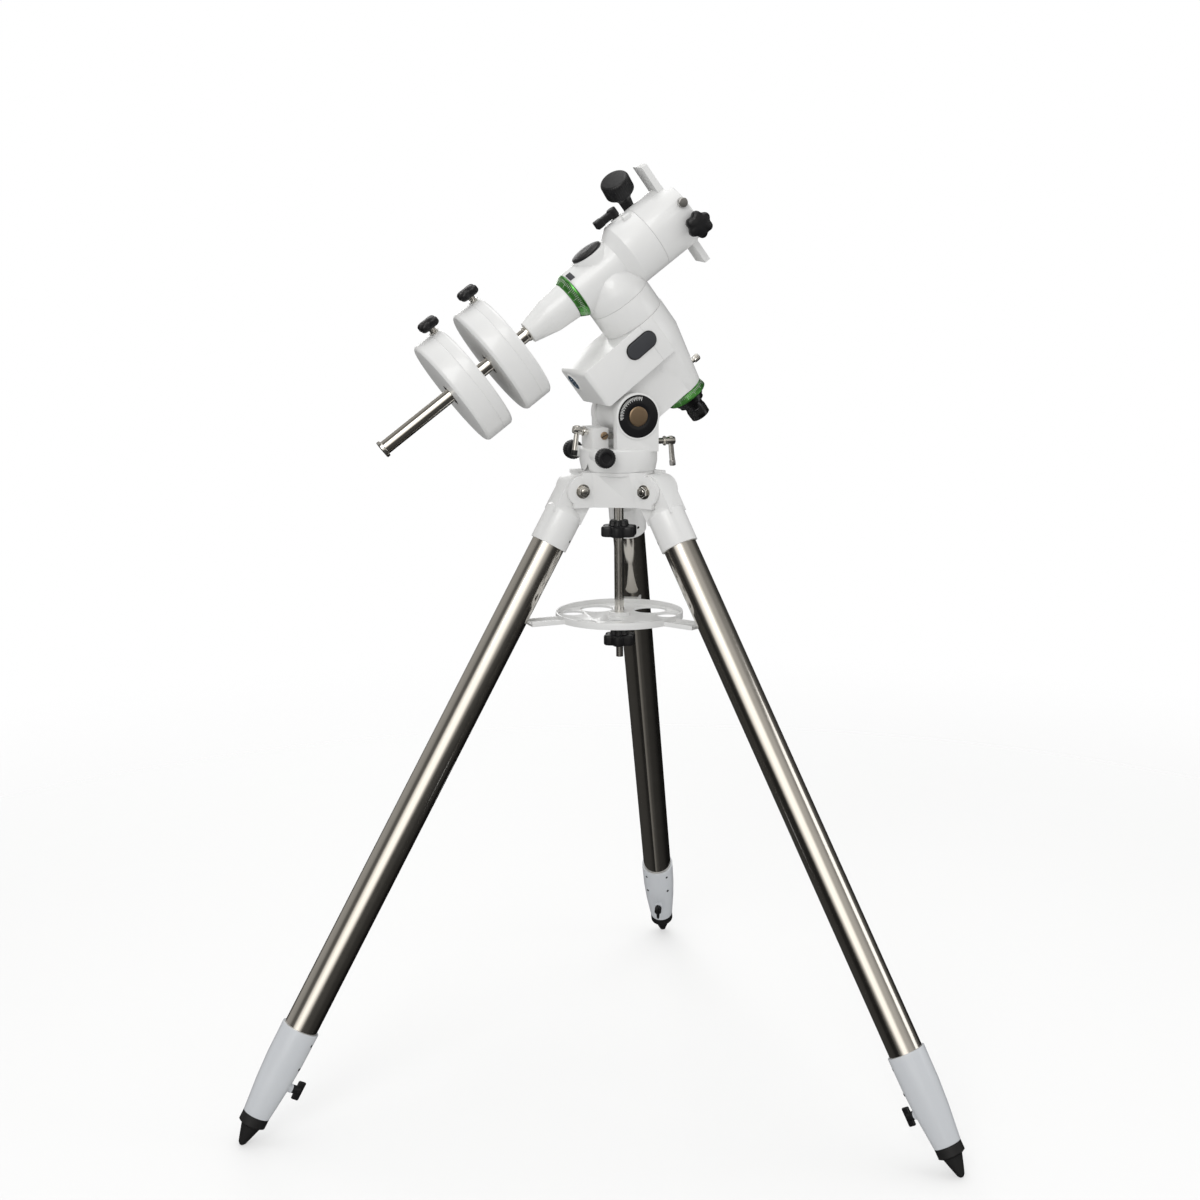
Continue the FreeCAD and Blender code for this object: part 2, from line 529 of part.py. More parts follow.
# ---------------------------------------------------------------- azimuth base
def azimuthBase():
    """The drum, the two yoke cheeks, the south wall and the north bracket, cast as one."""
    drum = turned("baseDrum", [
        ("0", "baseLow"), ("baseLowRadius", "baseLow"), ("baseRadius", "baseLow + baseSlope"),
        ("baseRadius", "baseTop - baseEdge"), ("baseRadius - baseEdge", "baseTop"), ("0", "baseTop")])
    solids = [drum]
    for side, span in {"West": ("0 - yokeOuter", "0 - yokeInner"),
                       "East": ("yokeInner", "yokeOuter")}.items():
        low, high = span
        solids.append(block("cheek" + side, ("altitudeX - yokeWidth / 2", "altitudeX + yokeWidth / 2"),
                            span, ("baseTop - wallRoot", "altitudeZ")))
        solids.append(rod("cheekRound" + side, "yokeRound", low, high, x="altitudeX",
                          z="altitudeZ", along="y"))
        solids.append(rod("azimuthBoss" + side, "azimuthBossRadius",
                          "bossRoot" if side == "East" else "0 - azimuthBossReach",
                          "azimuthBossReach" if side == "East" else "0 - bossRoot",
                          x="0 - pegPlace", z="azimuthBoltHeight", along="y"))
    solids.append(block("southWall", ("southWallPlace - southWallThick", "southWallPlace"),
                        ("0 - southWallHalf", "southWallHalf"), ("baseTop - wallRoot", "southWallTop")))
    solids.append(block("northBracket", ("bracketSouth - bracketLength", "bracketSouth"),
                        ("0 - bracketWide / 2", "bracketWide / 2"), ("baseTop - overlap", "bracketTop")))
    tools = [
        rod("baseThread", "shaftThreadRadius + runFit", "baseLow - overCut",
            "shaftThreadTop + threadRoom"),
        block("pegRoom", ("0 - pegPlace - pegRoomHalf", "pegRoomHalf - pegPlace"),
              ("0 - pegRoomWide", "pegRoomWide"), ("baseLow - overCut", "hubTop + pegHeight + overCut")),
        rod("azimuthBoltHole", "azimuthBoltRadius + runFit", "0 - azimuthKnobEnd", "azimuthKnobEnd",
            x="0 - pegPlace",
            z="azimuthBoltHeight", along="y"),
        block("lugPocket", ("altitudeX - lugPocketHalf", "altitudeX + lugPocketHalf"),
              ("0 - lugPocketWide", "lugPocketWide"), ("lugPocketLow", "baseTop + overCut")),
        rod("axleBore", "axleRadius", "0 - azimuthKnobEnd", "azimuthKnobEnd", x="altitudeX",
            z="altitudeZ", along="y"),
        rod("southBoltBore", "altitudeBoltRadius + runFit", "bossRoot", "southBoltElbow", z="southBoltHeight",
            along="x"),
        northBoltRod("northBoltBore", "altitudeBoltRadius + runFit", "0 - lugRound",
                     "northBoltElbow + lugRound"),
    ]
    return piece("azimuth_base", cut("baseCast", fuse("baseSolid", *solids), *tools))


def northBoltRod(name, radius, start, end):
    """A cylinder on the north bolt's tilted axis, from start to end outwards from the axle's plane."""
    tilt = Rotation(axisY, value("northBoltTilt - 90"))
    cylinder = doc.addObject("Part::Cylinder", name)
    bind(cylinder, Radius=radius, Height=f"({end}) - ({start})")
    cylinder.Placement = at("altitudeX", "0", "northBoltHeight", tilt).multiply(at("0", "0", start))
    return cylinder


def altitudeAxle():
    shank = rod("axleShank", "axleRadius", "0 - yokeOuter", "yokeOuter", along="y")
    head = rod("axleHead", "axleHeadRadius", "yokeOuter", "yokeOuter + axleHeadThick", along="y")
    return piece("altitude_axle", fuse("axleWhole", shank, head), at("altitudeX", "0", "altitudeZ"))


def latitudeDial():
    return piece("latitude_dial", rod("dial", "dialRadius", "0 - yokeOuter - dialThick",
                                      "0 - yokeOuter", x="altitudeX", z="altitudeZ", along="y"))


def azimuthKnobs():
    """Two knobs whose bolts close on the hub's peg from both sides."""
    for side, name in ((-1, "west"), (1, "east")):
        stem = rod(name + "AzimuthStem", "azimuthBoltRadius", "pegRadius + pushGap",
                   "azimuthKnobStart + knobLap")
        cap = turned(name + "AzimuthCap", [
            ("0", "azimuthKnobStart"), ("azimuthKnobRadius - knobEdge", "azimuthKnobStart"),
            ("azimuthKnobRadius", "azimuthKnobStart + knobEdge"),
            ("azimuthKnobRadius", "azimuthKnobEnd - knobRound"),
            ("azimuthKnobRadius - knobRound", "azimuthKnobEnd"), ("0", "azimuthKnobEnd")])
        frame = at("0 - pegPlace", "0", "azimuthBoltHeight", Rotation(axisX, -90 * side))
        piece(name + "_azimuth_knob", fuse(name + "AzimuthKnob", stem, cap), frame)


def altitudeBolts():
    """Two bolts with bent handles, which close on the housing's lug from both sides."""
    stem = rod("southStem", "altitudeBoltRadius", "altitudeX + lugRound + pushGap",
               "southBoltElbow", z="southBoltHeight", along="x")
    hanging = rod("southHandle", "handleRadius", "0 - handleLength", "altitudeBoltRadius")
    moved(at("southBoltElbow", "0", "southBoltHeight", Rotation(axisY,
             value("0 - southHandleTurn"))), hanging)
    piece("south_altitude_bolt", fuse("southBolt", stem, hanging))

    reach = "(northBoltElbow + altitudeX) / cos(northBoltTilt * 1deg)"
    shank = northBoltRod("northStem", "altitudeBoltRadius", "lugRound + northBoltGap", reach)
    tip = at("altitudeX", "0", "northBoltHeight", Rotation(axisY, value("northBoltTilt - 90")))
    end = tip.multiply(at("0", "0", reach)).Base
    handle = rod("northHandle", "handleRadius", "0 - handleLength", "altitudeBoltRadius")
    moved(Placement(end, Rotation(axisY, value("northHandleTurn"))), handle)
    piece("north_altitude_bolt", fuse("northBolt", shank, handle))


# ---------------------------------------------------------------- right ascension housing
def raHousing():
    """The housing about the polar axis, with the lug that the yoke holds."""
    shell = turned("raShell", [
        ("0", "raHousingEnd"), ("raHousingEndRadius", "raHousingEnd"),
        ("raHousingRadius", "raHousingStraight"), ("raHousingRadius", "raHousingTop"),
        ("0", "raHousingTop")])
    flank = block("raFlank", ("0 - coverStart", "flankEnd"), ("0 - coverHalf", "coverHalf"),
                  ("coverLow", "raHousingTop"))
    eyeHeight = "0 - axisRise"
    lugBlock = block("raLugBlock", ("0 - axisOffset", "0 - lugBlockStart"), ("0 - lugHalf", "lugHalf"),
                     ("lugBlockEnd", "coverLow"))
    eye = rod("raLugEye", "lugEyeRadius", "0 - lugHalf", "lugHalf", x="0 - axisOffset",
              z=eyeHeight, along="y")
    lug = block("raLugArm", ("0 - lugRound", "lugRound"), ("0 - lugWide / 2", "lugWide / 2"),
                ("0 - lugReach", "0"))
    lugEnd = rod("raLugEnd", "lugRound", "0 - lugWide / 2", "lugWide / 2", z="0 - lugReach",
                 along="y")
    hanging = at("0 - axisOffset", "0", eyeHeight, Rotation(axisY, value("90 - latitude")))
    moved(hanging, lug, lugEnd)
    tools = [
        rod("raBore", "raShaftRadius + runFit", "raHousingEnd - overCut",
            "raHousingTop + overCut"),
        rod("raWheelRoom", "wheelRoom", "wheelRoomEnd", "raHousingTop + overCut"),
        block("raWormRoom", ("0 - wormRoomOut", "0 - raShaftRadius"),
              ("0 - wormHalf - wormRoomEnd", "wormHalf + wormRoomEnd"),
              ("wheelTop - wheelThick - wormRoomSide", "wheelTop + wormRoomSide")),
        rod("raAxleBore", "axleRadius + runFit", "0 - lugHalf - overCut", "lugHalf + overCut",
            x="0 - axisOffset", z=eyeHeight, along="y"),
        rod("ringScrewHole", "ringScrewRadius + runFit", "raShaftRadius", "ringScrewReach",
            z="ringScrewPlace", along="x"),
        rod("raSpindleHole", "spindleRadius + runFit", "0 - raKnobStart", "raKnobStart", x="0 - wormOffset",
            z="wheelTop - wheelThick / 2", along="y"),
    ]
    solid = fuse("raHousingSolid", shell, flank, lugBlock, eye, lug, lugEnd)
    return piece("ra_housing", cut("raHousingCast", solid, *tools), raFrame)


def raDriveCover():
    """The box-shaped cover over the worm and motor, open towards the axis."""
    xs = ("0 - coverEnd", "0 - coverStart")
    outer = block("coverOuter", xs, ("0 - coverHalf", "coverHalf"), ("coverLow", "raHousingTop"))
    rounded = doc.addObject("Part::Fillet", "coverRounded")
    rounded.Base = outer
    doc.recompute()
    far = outer.Shape.BoundBox.XMin
    edges = [number for number, edge in enumerate(outer.Shape.Edges, start=1)
             if abs(edge.BoundBox.XMin - far) < 0.01 and edge.BoundBox.XLength < 0.01]
    radius = value("coverRound")
    rounded.Edges = [(number, radius, radius) for number in edges]
    room = block("coverRoom", ("coverWall - coverEnd", "overCut"),
                 ("coverWall - coverHalf", "coverHalf - coverWall"),
                 ("coverLow + coverWall", "raHousingTop - coverWall"))
    housing = rod("coverHousingCut", "raHousingRadius", "coverLow - overCut",
                  "raHousingTop + overCut")
    spindle = rod("coverSpindleHole", "spindleRadius + spindleRoom", "0", "raKnobStart", x="0 - wormOffset",
                  z="wheelTop - wheelThick / 2", along="y")
    plug = rod("coverPlugHole", "plugStem", "0 - coverHalf - overCut",
               "plugStemLength + overCut - coverHalf", x="0 - plugPlace - plugStemPlace",
               z="plugHeight", along="y")
    return piece("ra_drive_cover", cut("coverShell", rounded, room, housing, spindle, plug), raFrame)


def driveCoverPlug():
    """A stadium-shaped plug on the cover's west face."""
    half = "(plugLength - plugWidth) / 2"
    bar = block("plugBar", ("0 - plugLength / 2 + plugWidth / 2", half),
                ("0 - plugThick", "0"), ("0 - plugWidth / 2", "plugWidth / 2"))
    ends = [rod("plugEnd" + side, "plugWidth / 2", "0 - plugThick", "0", x=place, along="y")
            for side, place in {"A": "0 - " + half, "B": half}.items()]
    stem = rod("plugStemPeg", "plugStem - plugStemGap", "0", "plugStemLength",
               x="0 - plugStemPlace", along="y")
    frame = raFrame.multiply(at("0 - plugPlace", "0 - coverHalf", "plugHeight"))
    return piece("drive_cover_plug", fuse("plugWhole", bar, *ends, stem), frame)


def raSlowMotionKnob():
    """The worm on its spindle, which runs out to a knob on the east side."""
    worm = rod("raWorm", "wormRadius", "0 - wormHalf", "wormHalf")
    spindle = rod("raSpindle", "spindleRadius", "0 - wormHalf - spindleTail", "raKnobStart + knobLap")
    knob = turned("raKnobCap", [
        ("0", "raKnobStart"), ("raKnobRadius - knobEdge", "raKnobStart"),
        ("raKnobRadius", "raKnobStart + knobEdge"), ("raKnobRadius", "raKnobEnd - knobRound"),
        ("raKnobRadius - knobRound", "raKnobEnd"), ("0", "raKnobEnd")])
    frame = raFrame.multiply(at("0 - wormOffset", "0", "wheelTop - wheelThick / 2",
                                Rotation(axisX, -90)))
    return piece("ra_slow_motion_knob", fuse("raKnobWhole", worm, spindle, knob), frame)


def ringLockScrew():
    """The small thumbscrew that holds the right ascension circle."""
    stem = rod("ringScrewStem", "ringScrewRadius", "ringScrewDeep", "ringHeadStart + knobLap")
    head = rod("ringScrewHead", "ringHeadRadius", "ringHeadStart", "ringHeadEnd")
    frame = raFrame.multiply(at("0", "0", "ringScrewPlace", Rotation(axisY, 90)))
    return piece("ring_lock_screw", fuse("ringScrew", stem, head), frame)


# ---------------------------------------------------------------- right ascension axis
def raShaft():
    return piece("ra_shaft", ring("raShaftTube", "raShaftRadius", "polarBore", "raShaftEnd",
                                  "raShaftTop"), raFrame)


def raWormWheel():
    return piece("ra_worm_wheel", ring("raWheel", "wheelRadius", "raShaftRadius",
                                       "wheelTop - wheelThick", "wheelTop"), raFrame)


def raNeck():
    """The collar on the shaft under the declination housing, bored for the clutch."""
    low = "raHousingTop + seamGap"
    top = "raNeckTop - seamGap"
    body = turned("raNeckBody", [("raShaftRadius", low), ("raNeckRadius", low),
                                 ("raNeckRadius", top), ("raShaftRadius", top)])
    hole = rod("raClutchHole", "clutchStemRadius + runFit", "raNeckRadius - clutchStemDeep - overCut",
               "raNeckRadius + overCut", z="(raNeckTop + raHousingTop) / 2", along="y")
    return piece("ra_neck", cut("raNeckBored", body, hole), raFrame)


def raSettingRing():
    return piece("ra_setting_ring", turned("raRing", [
        ("raShaftRadius + runFit", "raRingEnd"), ("raRingLowRadius - ringEdge", "raRingEnd"),
        ("raRingLowRadius", "raRingEnd + ringEdgeRise"), ("raRingTopRadius", "raRingTop"),
        ("raShaftRadius + runFit", "raRingTop")]), raFrame)


def polarScope():
    """The polar telescope, screwed into the lower end of the hollow shaft."""
    return piece("polar_scope", turned("scope", [
        ("0", "scopeTubeEnd"), ("scopeTubeRadius", "scopeTubeEnd"),
        ("scopeTubeRadius", "scopeFlangeEnd"), ("scopeFlangeRadius", "scopeFlangeEnd"),
        ("scopeFlangeRadius", "raShaftEnd"), ("polarBore", "raShaftEnd"),
        ("polarBore", "raShaftEnd + scopeInside"), ("0", "raShaftEnd + scopeInside")]), raFrame)


def raClutchLever():
    """The lever that grips the right ascension axis, on the neck's east side."""
    stem = rod("raClutchStem", "clutchStemRadius", "raNeckRadius - clutchStemDeep",
               "raNeckRadius + clutchArmThick")
    arm = block("raClutchArm", ("0 - clutchArmWide / 2", "clutchArmLength"),
                ("0 - clutchArmWide / 2", "clutchArmWide / 2"),
                ("raNeckRadius + clutchLift", "raNeckRadius + clutchLift + clutchArmThick"))
    frame = raFrame.multiply(at("0", "0", "(raNeckTop + raHousingTop) / 2", Rotation(axisX, -90)))
    return piece("ra_clutch_lever", fuse("raClutch", stem, arm), frame)


# ---------------------------------------------------------------- declination housing
def decHousing():
    """The housing across the polar axis: a barrel, a flared head and a round foot."""
    barrel = turned("decBarrel", [
        ("0", "decLow"), ("decRadius - knobEdge", "decLow"), ("decRadius", "decLow + ringEdgeRise"),
        ("decRadius", "decShoulder"), ("decHeadRadius", "decFlare"),
        ("decHeadRadius", "decSeam"), ("0", "decSeam")])
    barrel.Placement = Placement(Vector(), Rotation(axisY, 90))
    foot = turned("decFoot", [
        ("0", "raNeckTop"), ("footRadius", "raNeckTop"), ("footRadius", "raNeckTop + footStraight"),
        ("footMidRadius", "0 - footMidDrop"), ("footHighRadius", "0 - footHighDrop"),
        ("footCoreRadius", "footCoreRise"), ("0", "footCoreRise")])
    capBoss = turned("decCapBoss", [("0", "0"), ("capBossRoot", "0"),
                                    ("capBossRadius", "capBossStraight"),
                                    ("capBossRadius", "capBossTop"), ("0", "capBossTop")])
    clutchBoss = rod("decClutchBoss", "clutchBossRadius", "clutchBossRoot", "clutchBossTop",
                     x="decClutchPlace")
    tools = [
        rod("decBore", "decShaftRadius + runFit", "decLow - overCut", "decSeam + overCut",
            along="x"),
        rod("decPolarHole", "polarHole", "raNeckTop - overCut", "capBossTop + overCut"),
        rod("decShaftSocket", "raShaftRadius", "raNeckTop - overCut", "raShaftTop"),
        rod("decClutchHole", "clutchStemRadius + runFit", "decShaftRadius + clutchStemDeep",
            "clutchStemTop", x="decClutchPlace"),
        rod("decNeckSeat", "raNeckRadius + overCut", "raNeckTop - neckSeatDeep", "raNeckTop"),
    ]
    solid = fuse("decHousingSolid", barrel, foot, capBoss, clutchBoss)
    return piece("dec_housing", cut("decHousingCast", solid, *tools), decFrame)


def polarBoreCap():
    return piece("polar_bore_cap", turned("boreCap", [
        ("0", "capBossTop - capSpigotLength"), ("capSpigot", "capBossTop - capSpigotLength"),
        ("capSpigot", "capBossTop"), ("capRadius", "capBossTop"), ("capRadius", "capTop - capEdge"),
        ("capRadius - capEdgeIn", "capTop"),
        ("0", "capTop + capDome")]), decFrame)


def decWormWheel():
    return piece("dec_worm_wheel", ring("decWheel", "wheelRadius", "decShaftRadius + partGap",
                                        "decSeam", "decWormPlace + wheelThick / 2"), saddleFrame)


def decClutchLever():
    stem = rod("decClutchStem", "clutchStemRadius", "decShaftRadius + clutchStemDeep + overCut",
               "clutchStemTop + knobLap", x="decClutchPlace")
    arm = block("decClutchArm", ("decClutchPlace - clutchArmLength",
                                 "decClutchPlace + clutchStemRadius"),
                ("0 - clutchArmWide / 2", "clutchArmWide / 2"),
                ("clutchArmLow", "clutchArmLow + clutchArmThick"))
    return piece("dec_clutch_lever", fuse("decClutch", stem, arm), decFrame)


# ---------------------------------------------------------------- declination axis
def decHead():
    """The rotating head with the dovetail saddle cut across its top."""
    low = "decSeam + seamGap"
    drum = turned("headDrum", [("decShaftRadius", low), ("decHeadRadius", low),
                               ("decHeadRadius", "headTop - headEdge"),
                               ("decHeadRadius - headEdge", "headTop"),
                               ("decShaftRadius", "headTop")])
    drum.Placement = Placement(Vector(), Rotation(axisY, 90))
    filling = rod("headCore", "decShaftRadius + overlap", "decShaftTop", "saddleFloor", along="x")
    arms = block("saddleArms", ("saddleFloor - armThick", "saddleFloor"),
                 ("0 - armWide / 2", "armWide / 2"), ("0 - armHalf", "armTop"))
    channel = plate("saddleChannel", [
        ("saddleFloor", "0 - saddleHalf"), ("headTop + overCut", "0 - saddleHalf"),
        ("headTop + overCut", "saddleHalf - saddleLip"), ("saddleFloor", "saddleHalf")],
        "0 - armHalf - overCut", "armTop + overCut")
    tools = [
        channel,
        rod("headRoomCut", "headRoom", low + " - overCut", "headRoomTop", along="x"),
    ]
    for name, radius, lift in (("star", "clampScrewRadius", "starKnobLift"),
                               ("safety", "clampScrewRadius", "safetyScrewLift")):
        tools.append(rod(name + "ScrewHole", radius + " + runFit", "0 - starKnobStart",
                         "0 - screwHoleEnd", x="clampScrewPlace", z=lift, along="y"))
    slot = block("headWormSlot", ("0 - wormRadius - wormSlotGap", "wormRadius + wormSlotGap"),
                 ("wormSlotIn", "decHeadRadius + overCut"), ("0 - wormHalf", "wormSlotTop"))
    ringRoom = rod("headRingRoom", "brassRingRadius + wormBoreGap", "wormSlotTop",
                   "decHeadRadius", y="wormOffset")
    for tool in (slot, ringRoom):
        moved(at("decWormPlace", "0", "0", Rotation(axisX, value("decWormTilt"))), tool)
        tools.append(tool)
    tools.append(rod("headScrewSeat", "safetyHeadRadius + runFit", "0 - decHeadRadius - overCut",
                     "seamGap - safetyHeadStart", x="clampScrewPlace", z="safetyScrewLift",
                     along="y"))
    solid = fuse("headSolid", drum, filling, arms)
    return piece("dec_head", cut("headCast", solid, *tools), decFrame)


def decShaft():
    shaft = rod("decShaftRod", "decShaftRadius", "decShaftLow", "decShaftTop", along="x")
    sight = rod("decSightHole", "sightHole", "0 - raShaftRadius", "raShaftRadius")
    return piece("dec_shaft", cut("decShaftBored", shaft, sight), decFrame)


def decWormBlock():
    """The worm's housing on the rotating head's flank."""
    outer = block("wormBlockOuter", ("0 - wormBlockBack", "wormBlockHalf"),
                  ("wormBlockRoot", "wormBlockOut"), ("wormBlockLow", "wormBlockTop"))
    room = rod("wormBlockRoom", "wormRadius + wormBoreGap", "wormStart - wormRoomSide",
               "wormEnd + wormRoomSide", y="wormOffset")
    head = rod("wormBlockHead", "decHeadRadius", "0 - decHeadRadius", "decHeadRadius", along="x")
    fixed = rod("wormBlockSeamCut", "decHeadRadius + partGap", "0 - decHeadRadius",
                "decSeam + seamGap - decWormPlace", along="x")
    stem = rod("wormBlockStem", "spindleRadius + runFit", "wormEnd", "decNeckLow", y="wormOffset")
    frame = wormFrame
    return piece("dec_worm_block", cut("wormBlock", outer, room, head, fixed, stem), frame)


def decSlowMotionKnob():
    """The worm, its spindle, the collar ring and the mushroom knob."""
    knob = turned("decKnob", [
        ("0", "wormStart"), ("wormRadius", "wormStart"), ("wormRadius", "wormEnd"),
        ("spindleRadius", "wormEnd"), ("spindleRadius", "wormBlockTop + seamGap"),
        ("brassRingRadius", "wormBlockTop + seamGap"), ("brassRingRadius", "decNeckLow"),
        ("decNeckLowRadius", "decNeckLow"), ("decNeckRadius", "decNeckTop"),
        ("decKnobUnder", "decKnobLow"), ("decKnobRadius", "decKnobRim"),
        ("decKnobRadius", "decKnobTop - decKnobRound"),
        ("decKnobRadius - decKnobRound", "decKnobTop"),
        ("0", "decKnobTop")])
    frame = wormFrame.multiply(at("0", "wormOffset", "0"))
    return piece("dec_slow_motion_knob", knob, frame)


def saddleClampKnob():
    """The star knob that clamps a dovetail bar from the west."""
    stem = rod("starStem", "clampScrewRadius", "screwTipPlace", "starKnobStart + knobLap")
    knob = lobedKnob("starKnob", "starKnobRadius", "starKnobStart", "starKnobEnd", "starLobes")
    frame = decFrame.multiply(at("clampScrewPlace", "0", "starKnobLift", Rotation(axisX, 90)))
    return piece("saddle_clamp_knob", fuse("starKnobWhole", stem, knob), frame)


def saddleSafetyScrew():
    stem = rod("safetyStem", "clampScrewRadius", "screwTipPlace", "decHeadRadius")
    head = rod("safetyHead", "safetyHeadRadius", "safetyHeadStart", "safetyHeadEnd")
    frame = decFrame.multiply(at("clampScrewPlace", "0", "safetyScrewLift", Rotation(axisX, 90)))
    return piece("saddle_safety_screw", fuse("safetyScrew", stem, head), frame)


# ---------------------------------------------------------------- counterweight side
def decSettingRing():
    return piece("dec_setting_ring", turned("decRing", [
        ("coneHubRadius + runFit", "decRingStart"), ("decRingTopRadius", "decRingStart"),
        ("decRingTopRadius - decRingEdge", "decRingStart + ringEdgeRise"),
        ("decRingLowRadius", "decRingEnd"),
        ("coneHubRadius + runFit", "decRingEnd")]), weightFrame)


def shaftCone():
    """The white cone that carries the counterweight bar, with a hub inside the circle."""
    cone = turned("coneBody", [
        ("decShaftRadius", "decRingStart"), ("coneHubRadius", "decRingStart"),
        ("coneHubRadius", "coneStart"), ("coneWideRadius", "coneStart"),
        ("coneMidRadius", "coneMidPlace"), ("coneEndRadius", "coneEnd"), ("barRadius", "coneEnd"),
        ("barRadius", "coneSocket"), ("decShaftRadius", "0 - decShaftLow")])
    return piece("shaft_cone", cone, weightFrame)


def counterweightShaft():
    return piece("counterweight_shaft", turned("bar", [
        ("0", "barStart"), ("barRadius", "barStart"), ("barRadius", "coneEnd"),
        ("barNutRadius", "coneEnd"), ("barNutRadius", "coneEnd + barNutLength"),
        ("barRadius", "coneEnd + barNutLength"), ("barRadius", "barEnd"),
        ("stopScrewRadius", "barEnd"), ("stopScrewRadius", "barEnd - stopScrewLength"),
        ("0", "barEnd - stopScrewLength")]), weightFrame)


def shaftEndStop():
    return piece("shaft_end_stop", turned("endStop", [
        ("0", "barEnd - stopScrewLength + overCut"),
        ("stopScrewRadius - runFit", "barEnd - stopScrewLength + overCut"),
        ("stopScrewRadius - runFit", "barEnd + runFit"), ("stopRadius", "barEnd + runFit"),
        ("stopRadius", "barEnd + stopThick"), ("0", "barEnd + stopThick")]), weightFrame)


def counterweights():
    """Two equal weights, each with its own lock knob on a stem."""
    for name, place in (("inner", "innerWeightPlace"), ("outer", "outerWeightPlace")):
        end = f"{place} + weightThick"
        inside = "weightRadius - weightRound"
        disc = turned(name + "Disc", [
            ("weightBore", place), (inside, place), ("weightRadius", f"{place} + weightRound"),
            ("weightRadius", f"{end} - weightRound"), (inside, end), ("weightDish", end),
            ("weightDish", f"{end} - weightDishDeep"), ("weightBush", f"{end} - weightDishDeep"),
            ("weightBush", end), ("weightBore", end)])
        middle = f"{place} + lockPlace"
        stemHole = rod(name + "StemHole", "weightStemRadius + runFit", "weightBore - overCut",
                       "weightRadius + overCut", z=middle, along="x")
        piece(name + "_counterweight", cut(name + "Weight", disc, stemHole), weightFrame)
        stem = rod(name + "LockStem", "weightStemRadius", "weightStemTip", "weightKnobStart + knobLap")
        knob = lobedKnob(name + "LockKnob", "weightKnobRadius", "weightKnobStart",
                         "weightKnobEnd", "lockLobes")
        frame = weightFrame.multiply(at("0", "0", middle, Rotation(axisY, 90)))
        piece(name + "_weight_knob", fuse(name + "LockWhole", stem, knob), frame)


def build():
    tripodHub()
    piece("leg_pivot_bolts", group("pivotBolts", [pivotBolt(n, a) for n, a in legAngles.items()]))
    mountLockShaft()
    mountLockKnob()
    accessoryTray()
    trayLockKnob()
    tripodLegs()
    azimuthBase()
    altitudeAxle()
    latitudeDial()
    azimuthKnobs()
    altitudeBolts()
    raHousing()
    raDriveCover()
    driveCoverPlug()
    raSlowMotionKnob()
    ringLockScrew()
    raShaft()
    raWormWheel()
    raNeck()
    raSettingRing()
    polarScope()
    raClutchLever()
    decHousing()
    polarBoreCap()
    decWormWheel()
    decClutchLever()
    decHead()
    decShaft()
    decWormBlock()
    decSlowMotionKnob()
    saddleClampKnob()
    saddleSafetyScrew()
    decSettingRing()
    shaftCone()
    counterweightShaft()
    shaftEndStop()
    counterweights()


def checkAndWrite():
    doc.recompute()
    for thing in doc.Objects:
        if {"Invalid", "Error"} & set(thing.State):
            raise RuntimeError(f"{thing.Name} ({thing.Label}) is {thing.State}")
    os.makedirs("parts", exist_ok=True)
    for node, thing in pieces:
        shape = thing.Shape
        if shape.isNull() or not shape.isValid() or not shape.Solids:
            raise RuntimeError(f"{node} has no sound solid")
        shape.exportStep(f"parts/{node}.step")
        print(f"{node}: {len(shape.Solids)} solid(s), {shape.Volume / 1000:.1f} cm3")


build()
checkAndWrite()
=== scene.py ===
# A German-type equatorial mount on a folding tripod. Metres, +X south, +Y east, +Z up.
# Pieces are drawn in millimetres in their own axis' space, then placed in metres.
import json
import math
import bmesh
import bpy
from mathutils import Matrix, Vector


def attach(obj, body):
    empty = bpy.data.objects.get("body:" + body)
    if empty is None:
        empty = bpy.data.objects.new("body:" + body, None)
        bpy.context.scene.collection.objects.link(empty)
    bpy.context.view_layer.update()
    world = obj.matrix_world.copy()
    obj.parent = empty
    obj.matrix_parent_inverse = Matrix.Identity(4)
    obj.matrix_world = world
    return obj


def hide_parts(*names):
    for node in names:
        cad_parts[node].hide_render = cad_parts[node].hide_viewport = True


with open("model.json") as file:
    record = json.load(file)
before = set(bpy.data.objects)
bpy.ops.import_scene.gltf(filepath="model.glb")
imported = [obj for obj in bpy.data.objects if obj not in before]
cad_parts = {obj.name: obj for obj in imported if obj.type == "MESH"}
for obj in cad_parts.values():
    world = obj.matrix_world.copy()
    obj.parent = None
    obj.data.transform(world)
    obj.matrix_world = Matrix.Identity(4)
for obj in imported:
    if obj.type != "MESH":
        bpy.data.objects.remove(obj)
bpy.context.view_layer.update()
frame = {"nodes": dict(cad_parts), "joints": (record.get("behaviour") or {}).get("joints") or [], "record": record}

print("frame loaded:", len(frame["nodes"]), "nodes")

# spaces of the moving axes, read from the joints
joints = {joint["name"]: joint for joint in frame["joints"]}
millimetre = Matrix.Scale(0.001, 4)


def space(origin, xAxis, zAxis):
    yAxis = zAxis.cross(xAxis)
    turn = Matrix((xAxis, yAxis, zAxis)).transposed().to_4x4()
    return Matrix.Translation(origin) @ turn @ millimetre


def jointSpace(name, zAxis, yAxis):
    return space(Vector(joints[name]["pos_m"]), yAxis.cross(zAxis), zAxis)


def shifted(x=0, y=0, z=0):
    return Matrix.Translation((x, y, z))


def turned(degrees, axis):
    return Matrix.Rotation(math.radians(degrees), 4, axis)


